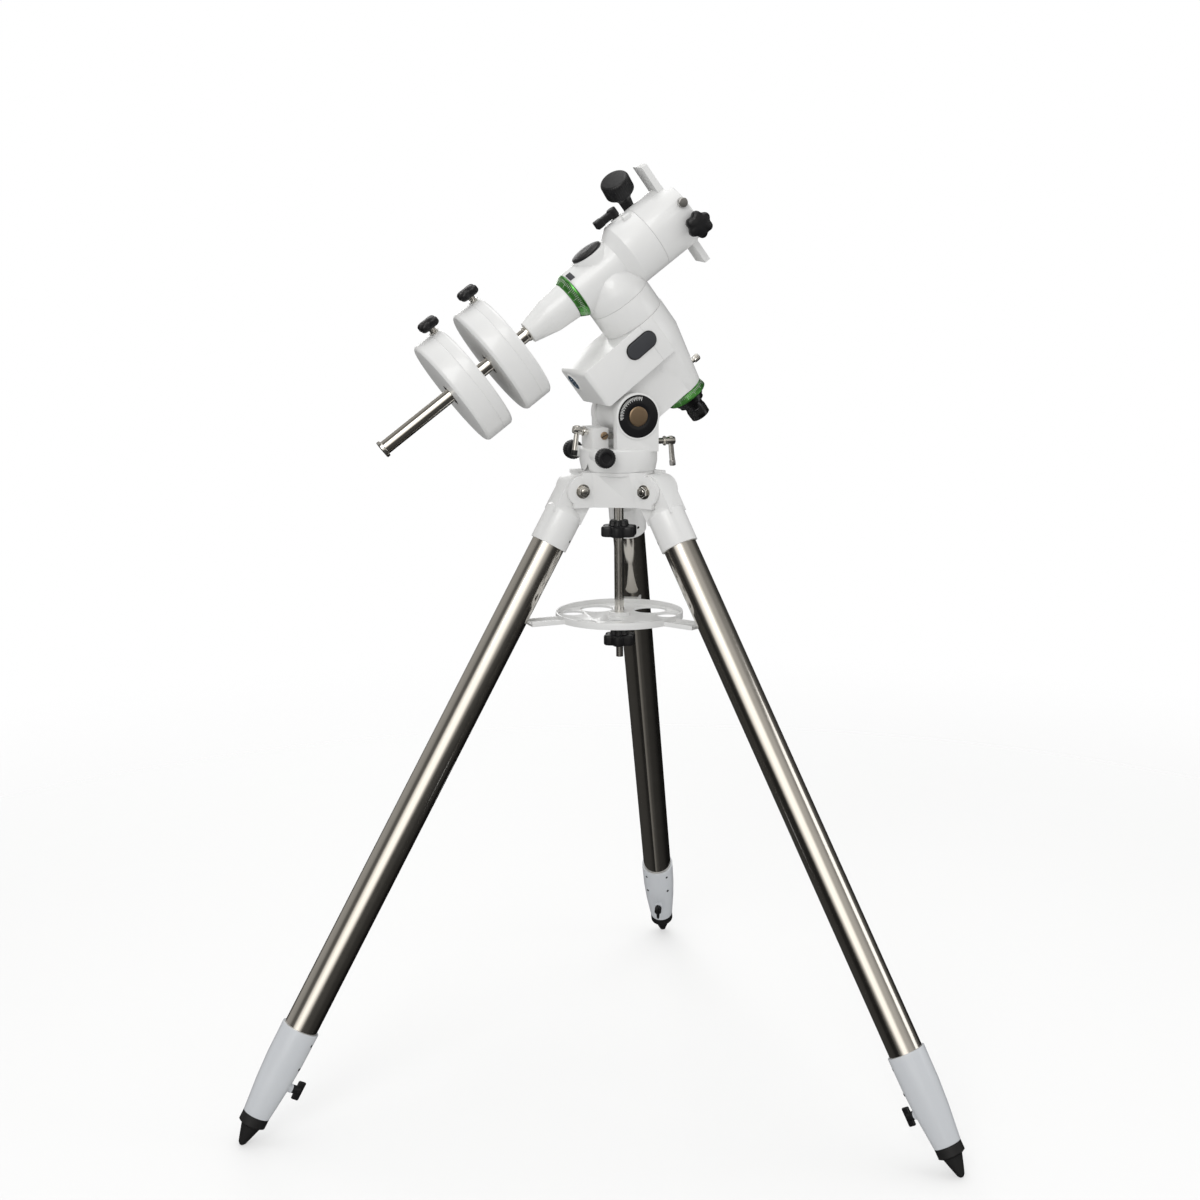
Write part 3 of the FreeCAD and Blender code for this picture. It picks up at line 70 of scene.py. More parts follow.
east = Vector((0, 1, 0))
polar = Vector(joints["right_ascension"]["axis"])
decAxis = Vector(joints["declination"]["axis"])
altitudeSpace = jointSpace("altitude", Vector((0, 0, 1)), east)
raSpace = jointSpace("right_ascension", polar, east)
decSpace = space(Vector(joints["declination"]["pos_m"]), decAxis, polar)
weightSpace = decSpace @ turned(-90, "Y")
wormSpace = decSpace @ shifted(x=88) @ turned(21, "X")
floorSpace = millimetre.copy()
tripod = {"pivotOut": 60, "pivotHeight": 832, "spread": 29.85}
legNames = ("north", "southwest", "southeast")
legAngle = {"north": 180, "southwest": 300, "southeast": 60}


def legSpace(name):
    along = Vector(joints[name + "_leg_extend"]["axis"])
    across = -Vector(joints[name + "_leg_fold"]["axis"])
    return jointSpace(name + "_leg_fold", along, across)


# shader building
class Wire:
    def __init__(self, finish, socket):
        self.finish = finish
        self.socket = socket

    def sum(self, operation, first, second):
        return self.finish.node("ShaderNodeMath", {"operation": operation}, {0: first, 1: second})

    def __add__(self, other):
        return self.sum("ADD", self, other)

    def __radd__(self, other):
        return self.sum("ADD", other, self)

    def __mul__(self, other):
        return self.sum("MULTIPLY", self, other)

    def __rmul__(self, other):
        return self.sum("MULTIPLY", other, self)


class Finish:
    # a material, its principled shader, and one method that adds any other node
    def __init__(self, name, **constants):
        self.material = bpy.data.materials.new(name)
        self.material.use_nodes = True
        self.tree = self.material.node_tree
        self.shader = self.tree.nodes["Principled BSDF"]
        for label, number in constants.items():
            self.shader.inputs[label.replace("_", " ")].default_value = number

    def node(self, kind, settings=None, inputs=None, output=0):
        made = self.tree.nodes.new(kind)
        for key, setting in (settings or {}).items():
            if key == "stops":
                while len(made.color_ramp.elements) < len(setting):
                    made.color_ramp.elements.new(0.5)
                for element, (place, colour) in zip(made.color_ramp.elements, setting):
                    element.position = place
                    element.color = (*colour, 1)
            else:
                setattr(made, key, setting)
        for key, given in (inputs or {}).items():
            if isinstance(given, Wire):
                self.tree.links.new(given.socket, made.inputs[key])
            else:
                made.inputs[key].default_value = given
        return Wire(self, made.outputs[output])

    def wire(self, label, given):
        self.tree.links.new(given.socket, self.shader.inputs[label])

    def place(self):
        return self.node("ShaderNodeTexCoord", output="Object")

    def noise(self, scale, detail=2):
        return self.node("ShaderNodeTexNoise",
                         inputs={"Vector": self.place(), "Scale": scale, "Detail": detail})

    def blendColour(self, mask, first, second):
        return self.node("ShaderNodeMix", {"data_type": "RGBA"},
                         {"Factor": mask, "A": (*first, 1), "B": (*second, 1)}, output="Result")

    def relief(self, height, depth, edge=0.0006):
        soft = self.node("ShaderNodeBevel", {"samples": 6}, {"Radius": edge})
        return self.node("ShaderNodeBump", inputs={"Strength": 1, "Distance": depth,
                                                   "Height": height, "Normal": soft})


def mixed(finish, mask, first, second):
    finish.wire("Base Color", finish.blendColour(mask, first, second))


def enamel(name, light, shade):
    # sprayed enamel: a faint orange peel, and a slow drift in tone and gloss
    look = {"peelPerMetre": 520, "peelDepth": 0.00004, "driftPerMetre": 9, "gloss": 0.34}
    paint = Finish(name, IOR=1.5, Coat_Roughness=0.12, Coat_Weight=0.35)
    drift = paint.noise(look["driftPerMetre"], 3)
    mixed(paint, drift, light, shade)
    paint.wire("Roughness", drift * 0.12 + look["gloss"])
    paint.wire("Normal", paint.relief(paint.noise(look["peelPerMetre"], 1), look["peelDepth"]))
    return paint.material


def steel(name, light, shade, rough, perMetre=60, depth=0.000002):
    # bright metal: slow patches in tone and gloss, and hardly any relief
    metal = Finish(name, Metallic=1.0)
    grain = metal.noise(perMetre, 3)
    mixed(metal, grain, shade, light)
    metal.wire("Roughness", grain * 0.08 + rough)
    metal.wire("Normal", metal.relief(grain, depth, 0.0003))
    return metal.material


def moulded(name, light, shade, rough, texturePerMetre=1600, depth=0.00006):
    plastic = Finish(name, IOR=1.42)
    grain = plastic.noise(texturePerMetre, 2)
    slow = plastic.noise(30, 2)
    mixed(plastic, slow, light, shade)
    plastic.wire("Roughness", grain * 0.12 + rough)
    plastic.wire("Normal", plastic.relief(grain, depth, 0.0004))
    return plastic.material


def anodised(name, light, shade, axis, perMetre=1400):
    # turned rings run round the axis, so the grain only changes along it
    ring = Finish(name, Metallic=0.85, Coat_Weight=0.3, Coat_Roughness=0.1)
    along = ring.node("ShaderNodeVectorMath", {"operation": "DOT_PRODUCT"},
                      {0: ring.place(), 1: axis}, output="Value")
    grain = ring.node("ShaderNodeTexNoise", {"noise_dimensions": "1D"},
                      {"W": along, "Scale": perMetre, "Detail": 2})
    mixed(ring, grain, shade, light)
    ring.wire("Roughness", grain * 0.15 + 0.2)
    ring.wire("Normal", ring.relief(grain, 0.00002, 0.0003))
    return ring.material


def machined(name, light, shade, axis, rough):
    face = Finish(name, Metallic=1.0)
    along = face.node("ShaderNodeVectorMath", {"operation": "DOT_PRODUCT"},
                      {0: face.place(), 1: axis}, output="Value")
    grain = face.node("ShaderNodeTexNoise", {"noise_dimensions": "1D"},
                      {"W": along, "Scale": 900, "Detail": 3})
    mixed(face, grain, shade, light)
    face.wire("Roughness", grain * 0.2 + rough)
    face.wire("Normal", face.relief(grain, 0.00002, 0.0003))
    return face.material


finishes = {
    "white_enamel": enamel("whiteEnamel", (0.80, 0.80, 0.79), (0.76, 0.76, 0.75)),
    "grey_enamel": enamel("greyEnamel", (0.64, 0.66, 0.685), (0.58, 0.60, 0.625)),
    "polished_steel": steel("polishedSteel", (0.74, 0.71, 0.66), (0.68, 0.65, 0.60), 0.10),
    "plated_steel": steel("platedSteel", (0.80, 0.78, 0.74), (0.72, 0.70, 0.66), 0.10, 120),
    "grey_steel": steel("greySteel", (0.52, 0.51, 0.49), (0.42, 0.41, 0.40), 0.28, 500, 0.00001),
    "black_plastic": moulded("blackPlastic", (0.006, 0.006, 0.007), (0.012, 0.012, 0.013), 0.34),
    "black_rubber": moulded("blackRubber", (0.008, 0.008, 0.008), (0.014, 0.014, 0.014), 0.55),
    "black_dial": moulded("blackDial", (0.008, 0.008, 0.009), (0.012, 0.012, 0.013), 0.12, 200,
                          0.00001),
    "dark_plug": moulded("darkPlug", (0.035, 0.037, 0.042), (0.05, 0.052, 0.058), 0.5, 1100),
    "green_anodised": anodised("greenAnodised", (0.13, 0.42, 0.09), (0.05, 0.24, 0.04), polar),
    "bronze": machined("bronze", (0.46, 0.33, 0.21), (0.28, 0.20, 0.13), east, 0.34),
    "bare_alloy": machined("bareAlloy", (0.72, 0.72, 0.71), (0.55, 0.55, 0.55), polar, 0.25),
    "black_alloy": anodised("blackAlloy", (0.02, 0.02, 0.022), (0.012, 0.012, 0.013), polar),
}
finishes["green_circle"] = anodised("greenCircle", (0.13, 0.42, 0.09), (0.05, 0.24, 0.04), decAxis)
finishes["dial_mark"] = moulded("dialMark", (0.80, 0.80, 0.78), (0.74, 0.74, 0.72), 0.4)
# near-black finish for the brass screw's slot: painted shade
finishes["slot_painted_shade"] = moulded("slotPaintedShade", (0.02, 0.02, 0.02), (0.03, 0.03, 0.03), 0.6)
finishes["port_blue"] = moulded("portBlue", (0.03, 0.06, 0.10), (0.05, 0.09, 0.14), 0.2)
print("finishes made:", len(finishes))

# every CAD node takes the finish of its own slot
slotOf = {part["node"]: part["material_slot"] for part in frame["record"]["subparts"]}
for node, slot in slotOf.items():
    mesh = frame["nodes"][node].data
    mesh.materials.clear()
    mesh.materials.append(finishes[slot])
# the polar shaft shows only as a narrow ring above the finder's flange; its bare alloy is drawn with the black
# finish, painted shade for that narrow step
frame["nodes"]["ra_shaft"].data.materials[0] = finishes["black_alloy"]


# mesh helpers
def finished(name, body, slot, shape, place, finish=None, smooth=32):
    shape.transform(place)
    bmesh.ops.recalc_face_normals(shape, faces=shape.faces)
    mesh = bpy.data.meshes.new(name)
    shape.to_mesh(mesh)
    shape.free()
    mesh.shade_smooth()
    mesh.set_sharp_from_angle(angle=math.radians(smooth))
    piece = bpy.data.objects.new(name, mesh)
    bpy.context.collection.objects.link(piece)
    mesh.materials.append(finishes[finish or slot])
    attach(piece, body)
    return piece


def lathe(outline, steps=72, lobes=0, depth=0.0):
    # an outline of (radius, height) turned about Z; with no radius at its ends it closes on itself
    shape = bmesh.new()
    rows = []
    for radius, height in outline:
        if radius == 0:
            rows.append([shape.verts.new((0, 0, height))])
            continue
        row = []
        for step in range(steps):
            angle = 2 * math.pi * step / steps
            wave = 1 - depth * (0.5 - 0.5 * math.cos(lobes * angle)) ** 1.3 if lobes else 1
            row.append(shape.verts.new((radius * wave * math.cos(angle),
                                        radius * wave * math.sin(angle), height)))
        rows.append(row)
    closed = len(rows[0]) > 1 and len(rows[-1]) > 1
    for low, high in zip(rows, rows[1:] + (rows[:1] if closed else [])):
        for step in range(steps):
            after = (step + 1) % steps
            corners = [low[step % len(low)], low[after % len(low)],
                       high[after % len(high)], high[step % len(high)]]
            corners = list(dict.fromkeys(corners))
            if len(corners) > 2:
                shape.faces.new(corners)
    return shape


def rounded(outline, radius=1.0, steps=3):
    # rounds each inner corner of an open outline
    if len(outline) < 3:
        return outline
    soft = [outline[0]]
    for before, corner, after in zip(outline, outline[1:], outline[2:]):
        first = Vector(before) - Vector(corner)
        second = Vector(after) - Vector(corner)
        reach = min(radius, first.length * 0.45, second.length * 0.45)
        start = Vector(corner) + first.normalized() * reach
        end = Vector(corner) + second.normalized() * reach
        for step in range(steps + 1):
            share = step / steps
            near = start.lerp(Vector(corner), share)
            far = Vector(corner).lerp(end, share)
            soft.append(tuple(near.lerp(far, share)))
    soft.append(outline[-1])
    return soft


def barrel(radius, low, high, edge=0.8, steps=48):
    return lathe(rounded([(0, low), (radius, low), (radius, high), (0, high)], edge), steps)


def washer(outer, inner, low, high):
    return lathe([(inner, low), (outer - 0.3, low), (outer, low + 0.3), (outer, high - 0.3),
                  (outer - 0.3, high), (inner, high)])


def roundedBlock(low, high, edge=1.0, steps=3):
    shape = bmesh.new()
    bmesh.ops.create_cube(shape, size=1)
    middle = [(a + b) / 2 for a, b in zip(low, high)]
    size = [b - a for a, b in zip(low, high)]
    for vertex in shape.verts:
        vertex.co = [m + s * c for m, s, c in zip(middle, size, vertex.co)]
    bmesh.ops.bevel(shape, geom=shape.edges[:], offset=edge, segments=steps, profile=0.5,
                    affect="EDGES", clamp_overlap=True)
    return shape


def hexHead(radius, low, high, chamfer=0.7):
    shape = bmesh.new()
    middle = shifted(z=(low + high) / 2)
    bmesh.ops.create_cone(shape, cap_ends=True, segments=6, radius1=radius, radius2=radius,
                          depth=high - low, matrix=middle)
    rim = [edge for edge in shape.edges if abs(edge.verts[0].co.z - edge.verts[1].co.z) < 0.01]
    bmesh.ops.bevel(shape, geom=rim, offset=chamfer, segments=2, profile=0.6, affect="EDGES")
    return shape


def together(*shapes):
    whole = bmesh.new()
    for shape in shapes:
        mesh = bpy.data.meshes.new("scratch")
        shape.to_mesh(mesh)
        shape.free()
        whole.from_mesh(mesh)
        bpy.data.meshes.remove(mesh)
    return whole


def placed(shape, place):
    shape.transform(place)
    return shape


def softened(name, node, body, width, keepAngle=38):
    # the casting's own solid with every sharp edge rounded over
    source = frame["nodes"][node]
    shape = bmesh.new()
    shape.from_mesh(source.data)
    bmesh.ops.remove_doubles(shape, verts=shape.verts, dist=0.000002)
    bmesh.ops.dissolve_limit(shape, angle_limit=math.radians(0.3), verts=shape.verts,
                             edges=shape.edges)
    mesh = bpy.data.meshes.new(name)
    shape.to_mesh(mesh)
    shape.free()
    piece = bpy.data.objects.new(name, mesh)
    bpy.context.collection.objects.link(piece)
    mesh.materials.append(source.data.materials[0])
    bevel = piece.modifiers.new("edge", "BEVEL")
    bevel.width = width * 0.001
    bevel.segments = 3
    bevel.limit_method = "ANGLE"
    bevel.angle_limit = math.radians(keepAngle)
    bevel.miter_outer = "MITER_ARC"
    flat = bpy.data.meshes.new_from_object(piece.evaluated_get(bpy.context.evaluated_depsgraph_get()))
    piece.modifiers.clear()
    flat.shade_smooth()
    flat.set_sharp_from_angle(angle=math.radians(30))
    piece.data = flat
    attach(piece, body)
    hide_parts(node)
    return piece


# tripod head
pivotBolt = {"reach": 24, "head": 7.4, "thick": 5.5, "washer": 9.5, "shank": 4, "tail": 2}
bolts = []
for leg in legNames:
    corner = shifted(x=tripod["pivotOut"], z=tripod["pivotHeight"])
    pivot = floorSpace @ turned(legAngle[leg], "Z") @ corner
    for side in (1, -1):
        out = pivot @ turned(-90 * side, "X")
        reach = pivotBolt["reach"]
        bolts.append(placed(washer(pivotBolt["washer"], pivotBolt["shank"], reach, reach + 1), out))
        low = reach + 1
        bolts.append(placed(hexHead(pivotBolt["head"], low, low + pivotBolt["thick"]), out))
        tip = low + pivotBolt["thick"] + (pivotBolt["tail"] if side > 0 else 0.4)
        bolts.append(placed(barrel(pivotBolt["shank"], 0, tip), out))
boltPiece = finished("pivotBolts", "tripod_head", "plated_steel", together(*bolts), Matrix())
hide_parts("leg_pivot_bolts")


def gripKnob(name, node, body, look):
    wheel = lathe(rounded([(look["bore"], look["low"]), (look["radius"], look["low"]),
                           (look["radius"], look["high"]), (look["hub"] + 1, look["high"]),
                           (look["hub"], look["hubHigh"]), (look["bore"], look["hubHigh"])], 3),
                  144, look["lobes"], look["depth"])
    piece = finished(name, body, "black_plastic", wheel, floorSpace)
    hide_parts(node)
    return piece


lockKnob = {"radius": 25, "low": 766, "high": 780, "hub": 13, "hubHigh": 788, "bore": 6.6,
            "lobes": 6, "depth": 0.24}
trayKnob = {"radius": 22.5, "low": 618, "high": 632, "hub": 12.5, "hubHigh": 639.6, "bore": 6.9,
            "lobes": 6, "depth": 0.24}
gripKnob("lockKnob", "mount_lock_knob", "lock_knob", lockKnob)
gripKnob("trayKnob", "tray_lock_knob", "tray_knob", trayKnob)

# castings, softened at their edges
castings = {
    "hubCasting": ("tripod_hub", "tripod_head", 1.2),
    "trayCasting": ("accessory_tray", "tray", 0.7),
    "azimuthCasting": ("azimuth_base", "azimuth_base", 1.2),
    "raHousingCasting": ("ra_housing", "ra_body", 1.2),
    "driveCover": ("ra_drive_cover", "ra_body", 2.0),
    "raNeck": ("ra_neck", "dec_body", 0.6),
    "decHousingCasting": ("dec_housing", "dec_body", 1.0),
    "saddleHead": ("dec_head", "dec_axis", 0.8),
    "wormBlock": ("dec_worm_block", "dec_axis", 1.0),
    "barCone": ("shaft_cone", "dec_axis", 0.8),
}
for leg in legNames:
    castings[leg + "LegCasting"] = (leg + "_leg_casting", leg + "_leg", 1.0)
    castings[leg + "LegCollar"] = (leg + "_leg_collar", leg + "_leg", 0.7)
for name, (node, body, width) in castings.items():
    softened(name, node, body, width)
print("castings softened:", len(castings))

# legs: wing knobs and set screws
legLook = {"clampFromFoot": 90, "collarTop": 169.5, "screw": 2.0, "screwTurn": 42, "seat": 23.0,
           "collarRows": (14, 48), "castingRow": 66}
wingLook = {"near": 32.5, "far": 43, "half": 13, "thick": 2.2, "hub": 5.6, "stem": 2.9}
length = tripod["pivotHeight"] / math.cos(math.radians(tripod["spread"]))
for leg in legNames:
    here = legSpace(leg)
    clamp = here @ shifted(z=length - legLook["clampFromFoot"])
    wing = roundedBlock((wingLook["near"], -wingLook["thick"], -wingLook["half"]),
                        (wingLook["far"], wingLook["thick"], wingLook["half"]), 2.1, 4)
    hub = placed(barrel(wingLook["hub"], 28.6, 39, 1.2), turned(90, "Y"))
    stem = placed(barrel(wingLook["stem"], 17, 30, 0.3), turned(90, "Y"))
    knob = finished(leg + "WingKnob", leg + "_clamp", "black_plastic", together(wing, hub, stem),
                    clamp)
    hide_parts(leg + "_clamp_knob")
    heads = []
    for side in (1, -1):
        outward = turned(side * legLook["screwTurn"], "Z") @ turned(90, "Y")
        for row in legLook["collarRows"]:
            depth = legLook["collarTop"] - row
            head = barrel(legLook["screw"], legLook["seat"], 25.1, 0.3, 24)
            heads.append(placed(head, shifted(z=length - depth) @ outward))
        head = barrel(legLook["screw"], legLook["seat"], 25.15, 0.3, 24)
        heads.append(placed(head, shifted(z=legLook["castingRow"]) @ outward))
    finished(leg + "SetScrews", leg + "_leg", "black_alloy", together(*heads), here)
print("legs dressed")

# azimuth base: dial, knobs, bolts
dialLook = {"rim": 30.4, "face": 28, "boss": 13, "back": 44, "marks": 13}
dial = altitudeSpace @ turned(90, "X") @ shifted(z=dialLook["back"])
rim = lathe(rounded([(dialLook["face"] - 0.4, 0.02), (dialLook["rim"], 0.02),
                     (dialLook["rim"], 1.6), (dialLook["face"] - 0.4, 1.6)], 0.6), 96)
finished("dialRim", "azimuth_base", "white_enamel", rim, dial)
face = lathe(rounded([(0, 0.02), (dialLook["face"], 0.02), (dialLook["face"], 1.9),
                      (dialLook["boss"] + 4, 2.4), (dialLook["boss"], 1.9), (0, 1.9)], 0.5), 96)
facePiece = finished("dialFace", "azimuth_base", "black_dial", face, dial)
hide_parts("latitude_dial")
boss = lathe(rounded([(0, 1), (dialLook["boss"], 1), (dialLook["boss"], 2.9),
                      (dialLook["boss"] - 1.2, 3.6), (0, 3.9)], 0.6), 72)
finished("dialBoss", "azimuth_base", "bronze", boss, dial)
marks = []
for step in range(dialLook["marks"] * 2):
    longMark = step % 2 == 0
    out = turned(78 + step * 4.4, "Z")
    inner = 20.5 if longMark else 22.5
    marks.append(placed(roundedBlock((inner, -0.4, 1.7), (25.6, 0.4, 2.28), 0.1, 1), out))
finished("dialMarks", "azimuth_base", "white_enamel", together(*marks), dial, "dial_mark")

azimuthKnob = {"place": -42, "height": 878, "radius": 13, "start": 50, "end": 64}
for side, name in ((1, "west"), (-1, "east")):
    here = (floorSpace @ shifted(x=azimuthKnob["place"], z=azimuthKnob["height"])
            @ turned(90 * side, "X"))
    outline = [(0, azimuthKnob["start"]), (10.5, azimuthKnob["start"]),
               (azimuthKnob["radius"], azimuthKnob["start"] + 3),
               (azimuthKnob["radius"], azimuthKnob["end"] - 1.5),
               (azimuthKnob["radius"] - 2.5, azimuthKnob["end"]), (7.2, azimuthKnob["end"]),
               (6.6, azimuthKnob["end"] - 2.5), (0, azimuthKnob["end"] - 2.2)]
    cap = lathe(rounded(outline, 0.9), 192, 24, 0.035)
    piece = finished(name + "AzimuthKnob", name + "_azimuth_knob", "black_plastic", cap, here)
    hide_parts(name + "_azimuth_knob")
    shank = together(barrel(4, 5.6, azimuthKnob["start"] + 1, 0.4),
                     washer(7, 4, 43.3, 44.6))
    finished(name + "AzimuthShank", name + "_azimuth_knob", "plated_steel", shank, here)

brassScrew = {"x": -28, "z": 903, "radius": 5.2}
here = floorSpace @ shifted(x=brassScrew["x"], y=-20, z=brassScrew["z"]) @ turned(90, "X")
screwHead = lathe(rounded([(0, 0.1), (brassScrew["radius"], 0.1), (brassScrew["radius"], 1.4),
                           (brassScrew["radius"] - 0.8, 2.2), (0, 2.6)], 0.4), 48)
finished("bracketScrew", "azimuth_base", "bronze", screwHead, here)
# the slot is a near-black block set into the brass head, painted shade standing in for the slot's recess
slitShade = roundedBlock((-4.6, -0.6, 1.9), (4.6, 0.6, 2.75), 0.1, 1)
finished("bracketScrewSlitShade", "azimuth_base", "bronze", slitShade, here @ turned(25, "Z"), "slot_painted_shade")


def handledBolt(name, node, place, start, elbow, handleTurn, tipSlot):
    stem = together(barrel(3.95, start, elbow - 8, 0.5), barrel(5.2, elbow - 9, elbow + 3.5, 1.2),
                    washer(6.6, 4, elbow - 12, elbow - 10.4))
    body = node.replace("_altitude", "")
    stemPiece = finished(name + "Stem", body, "plated_steel", stem, place)
    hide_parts(node)
    lever = lathe(rounded([(0, 6), (3.6, 6), (3.3, -6), (3.7, -30), (4.1, -34), (0, -34)], 1.2), 40)
    hinge = place @ shifted(z=elbow - 2) @ handleTurn
    finished(name + "Handle", body, "plated_steel", lever, hinge)
    tip = lathe(rounded([(0, -26), (4.15, -26), (4.15, -34), (0, -34)], 1.4), 40)
    finished(name + "Tip", body, tipSlot, tip, hinge)


southLook = {"height": 890.5, "start": 19.3, "elbow": 78, "handle": -95}
southBolt = floorSpace @ shifted(z=southLook["height"]) @ turned(90, "Y")
handledBolt("southBolt", "south_altitude_bolt", southBolt, southLook["start"],
            southLook["elbow"], turned(southLook["handle"], "Y"), "grey_steel")
northLook = {"x": 9.6, "height": 895.2, "slope": 12.2, "start": 14.2, "out": 60, "handle": 8}
northBolt = (floorSpace @ shifted(x=northLook["x"], z=northLook["height"])
             @ turned(northLook["slope"] - 90, "Y"))
northReach = (northLook["out"] + northLook["x"]) / math.cos(math.radians(northLook["slope"]))
handledBolt("northBolt", "north_altitude_bolt", northBolt, northLook["start"], northReach,
            turned(90 - northLook["slope"] + northLook["handle"], "Y"), "black_plastic")
print("azimuth base dressed")

# right ascension body: plug, port, screws, circle, finder tube
plugLook = {"length": 47, "width": 23, "proud": 2.9, "rim": 1.2, "x": -25, "z": -94}


def stadium(length, width, low, high, edge, steps=18):
    # a slab with two round ends and a soft upper rim
    shape = bmesh.new()
    half = (length - width) / 2
    points = []
    for end in (1, -1):
        for step in range(steps + 1):
            angle = math.radians(-90 + 180 * step / steps)
            points.append((end * (half + width / 2 * math.cos(angle)),
                           end * width / 2 * math.sin(angle), low))
    base = shape.faces.new([shape.verts.new(point) for point in points])
    grown = bmesh.ops.extrude_face_region(shape, geom=[base])
    top = [item for item in grown["geom"] if isinstance(item, bmesh.types.BMVert)]
    for vertex in top:
        vertex.co.z = high
    rim = [item for item in shape.edges
           if all(abs(vertex.co.z - high) < 0.001 for vertex in item.verts)]
    bmesh.ops.bevel(shape, geom=rim, offset=edge, segments=3, profile=0.5, affect="EDGES")
    return shape


plugPlace = raSpace @ shifted(x=plugLook["x"], y=-44, z=plugLook["z"]) @ turned(90, "X")
plug = stadium(plugLook["length"] - 2.4, plugLook["width"] - 2.4, -1, plugLook["proud"], 1.3)
plugPiece = finished("coverPlug", "ra_body", "dark_plug", plug, plugPlace)
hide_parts("drive_cover_plug")
gasket = stadium(plugLook["length"], plugLook["width"], -1, plugLook["rim"], 0.6)
finished("coverPlugRim", "ra_body", "black_rubber", gasket, plugPlace)

portLook = {"y": 20, "z": -92, "rim": 14, "hole": 11.3}
portPlace = raSpace @ shifted(x=-110, y=portLook["y"], z=portLook["z"]) @ turned(-90, "Y")
portRing = lathe(rounded([(portLook["hole"], 0.02), (portLook["rim"], 0.02),
                          (portLook["rim"] - 0.4, 0.9), (portLook["hole"], 0.9)], 0.3), 64)
finished("portRing", "ra_body", "white_enamel", portRing, portPlace)
portFace = lathe(rounded([(0, 0.02), (portLook["hole"], 0.02), (portLook["hole"], 0.5),
                          (portLook["hole"] - 1, 0.7), (0, 0.35)], 0.2), 64)
finished("portFace", "ra_body", "dark_plug", portFace, portPlace, "port_blue")
pins = []
for step in range(5):
    out = turned(-60 + step * 75, "Z")
    pins.append(placed(barrel(0.9, 0.3, 1.0, 0.2, 16), out @ shifted(x=5)))
finished("portPins", "ra_body", "plated_steel", together(*pins), portPlace)

ringScrew = raSpace @ shifted(z=-170) @ turned(90, "Y")
thumb = together(lathe(rounded([(0, 36), (4.4, 36), (4.8, 39), (4.8, 43.5), (3.8, 45), (0, 45)], 0.6),
                       96, 16, 0.08), barrel(2.9, 24, 37, 0.3))
thumbPiece = finished("circleThumbscrew", "ring_screw", "plated_steel", thumb, ringScrew)
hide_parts("ring_lock_screw")

circleLook = {"top": -191, "end": -202, "topRadius": 26, "lowRadius": 28.5, "bore": 20.1}
raCircle = lathe(rounded([(circleLook["bore"], circleLook["end"]),
                          (circleLook["lowRadius"] - 1.5, circleLook["end"]),
                          (circleLook["lowRadius"], circleLook["end"] + 1.4),
                          (circleLook["lowRadius"] - 0.3, circleLook["end"] + 3.4),
                          (circleLook["topRadius"] + 0.4, circleLook["top"] - 0.8),
                          (circleLook["topRadius"] - 0.6, circleLook["top"]),
                          (circleLook["bore"], circleLook["top"])], 0.5), 128)
raCirclePiece = finished("raCircle", "ra_circle", "green_anodised", raCircle, raSpace)
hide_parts("ra_setting_ring")


def circleMarks(lowRadius, lowHeight, highRadius, highHeight, count, width=0.35):
    # engraved marks filled with paint, every fifth one longer
    shape = bmesh.new()
    slope = Vector((highRadius - lowRadius, highHeight - lowHeight))
    for step in range(count):
        share = 0.95 if step % 5 == 0 else 0.5
        angle = 2 * math.pi * step / count
        across = Vector((-math.sin(angle), math.cos(angle), 0)) * width / 2
        corners = []
        for reach, lift in ((0.04, 0.06), (share, 0.06), (share, -0.3), (0.04, -0.3)):
            radius = lowRadius + slope.x * reach + lift
            height = lowHeight + slope.y * reach
            corners.append(Vector((radius * math.cos(angle), radius * math.sin(angle), height)))
        first = [shape.verts.new(corner + across) for corner in corners]
        second = [shape.verts.new(corner - across) for corner in corners]
        shape.faces.new(first)
        shape.faces.new(reversed(second))
        for here in range(4):
            after = (here + 1) % 4
            shape.faces.new((first[after], first[here], second[here], second[after]))
    return shape


raMarks = circleMarks(circleLook["topRadius"] + 0.4, circleLook["top"] - 1,
                      circleLook["lowRadius"] - 0.3, circleLook["end"] + 3.6, 72)
finished("raCircleMarks", "ra_circle", "green_anodised", raMarks, raSpace, "dial_mark")

scopeLook = {"flange": 18, "flangeTop": -208.2, "flangeEnd": -213, "tube": 13.5, "end": -236}
scope = lathe(rounded([(0, scopeLook["flangeTop"]), (scopeLook["flange"], scopeLook["flangeTop"]),
                       (scopeLook["flange"], scopeLook["flangeEnd"]),
                       (scopeLook["tube"] - 0.6, scopeLook["flangeEnd"] - 1),
                       (scopeLook["tube"] - 0.6, -221), (scopeLook["tube"], -221.6),
                       (scopeLook["tube"], scopeLook["end"] + 0.8),
                       (scopeLook["tube"] - 1.5, scopeLook["end"]), (9, scopeLook["end"]),
                       (8.4, scopeLook["end"] + 3), (0, scopeLook["end"] + 3)], 0.5), 160)
scopePiece = finished("polarScope", "dec_body", "black_alloy", scope, raSpace)
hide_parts("polar_scope")
knurl = lathe(rounded([(12, -222.6), (13.75, -222.6), (13.75, -230), (12, -230)], 0.3), 360, 60, 0.03)
finished("scopeKnurl", "dec_body", "black_rubber", knurl, raSpace)

raKnob = {"radius": 15, "start": 47, "end": 61, "x": -46, "z": -94}
here = raSpace @ shifted(x=raKnob["x"], z=raKnob["z"]) @ turned(-90, "X")
cap = lathe(rounded([(0, raKnob["start"]), (raKnob["radius"] - 2, raKnob["start"]),
                     (raKnob["radius"], raKnob["start"] + 2.5), (raKnob["radius"], raKnob["end"] - 1.5),
                     (raKnob["radius"] - 2.5, raKnob["end"]), (0, raKnob["end"])], 1), 216, 30, 0.03)
capPiece = finished("raKnob", "ra_worm", "black_plastic", cap, here)
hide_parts("ra_slow_motion_knob")
finished("raWorm", "ra_worm", "plated_steel", together(barrel(3.9, -35, 48, 0.4), barrel(6.6, -24, 24)),
         here)

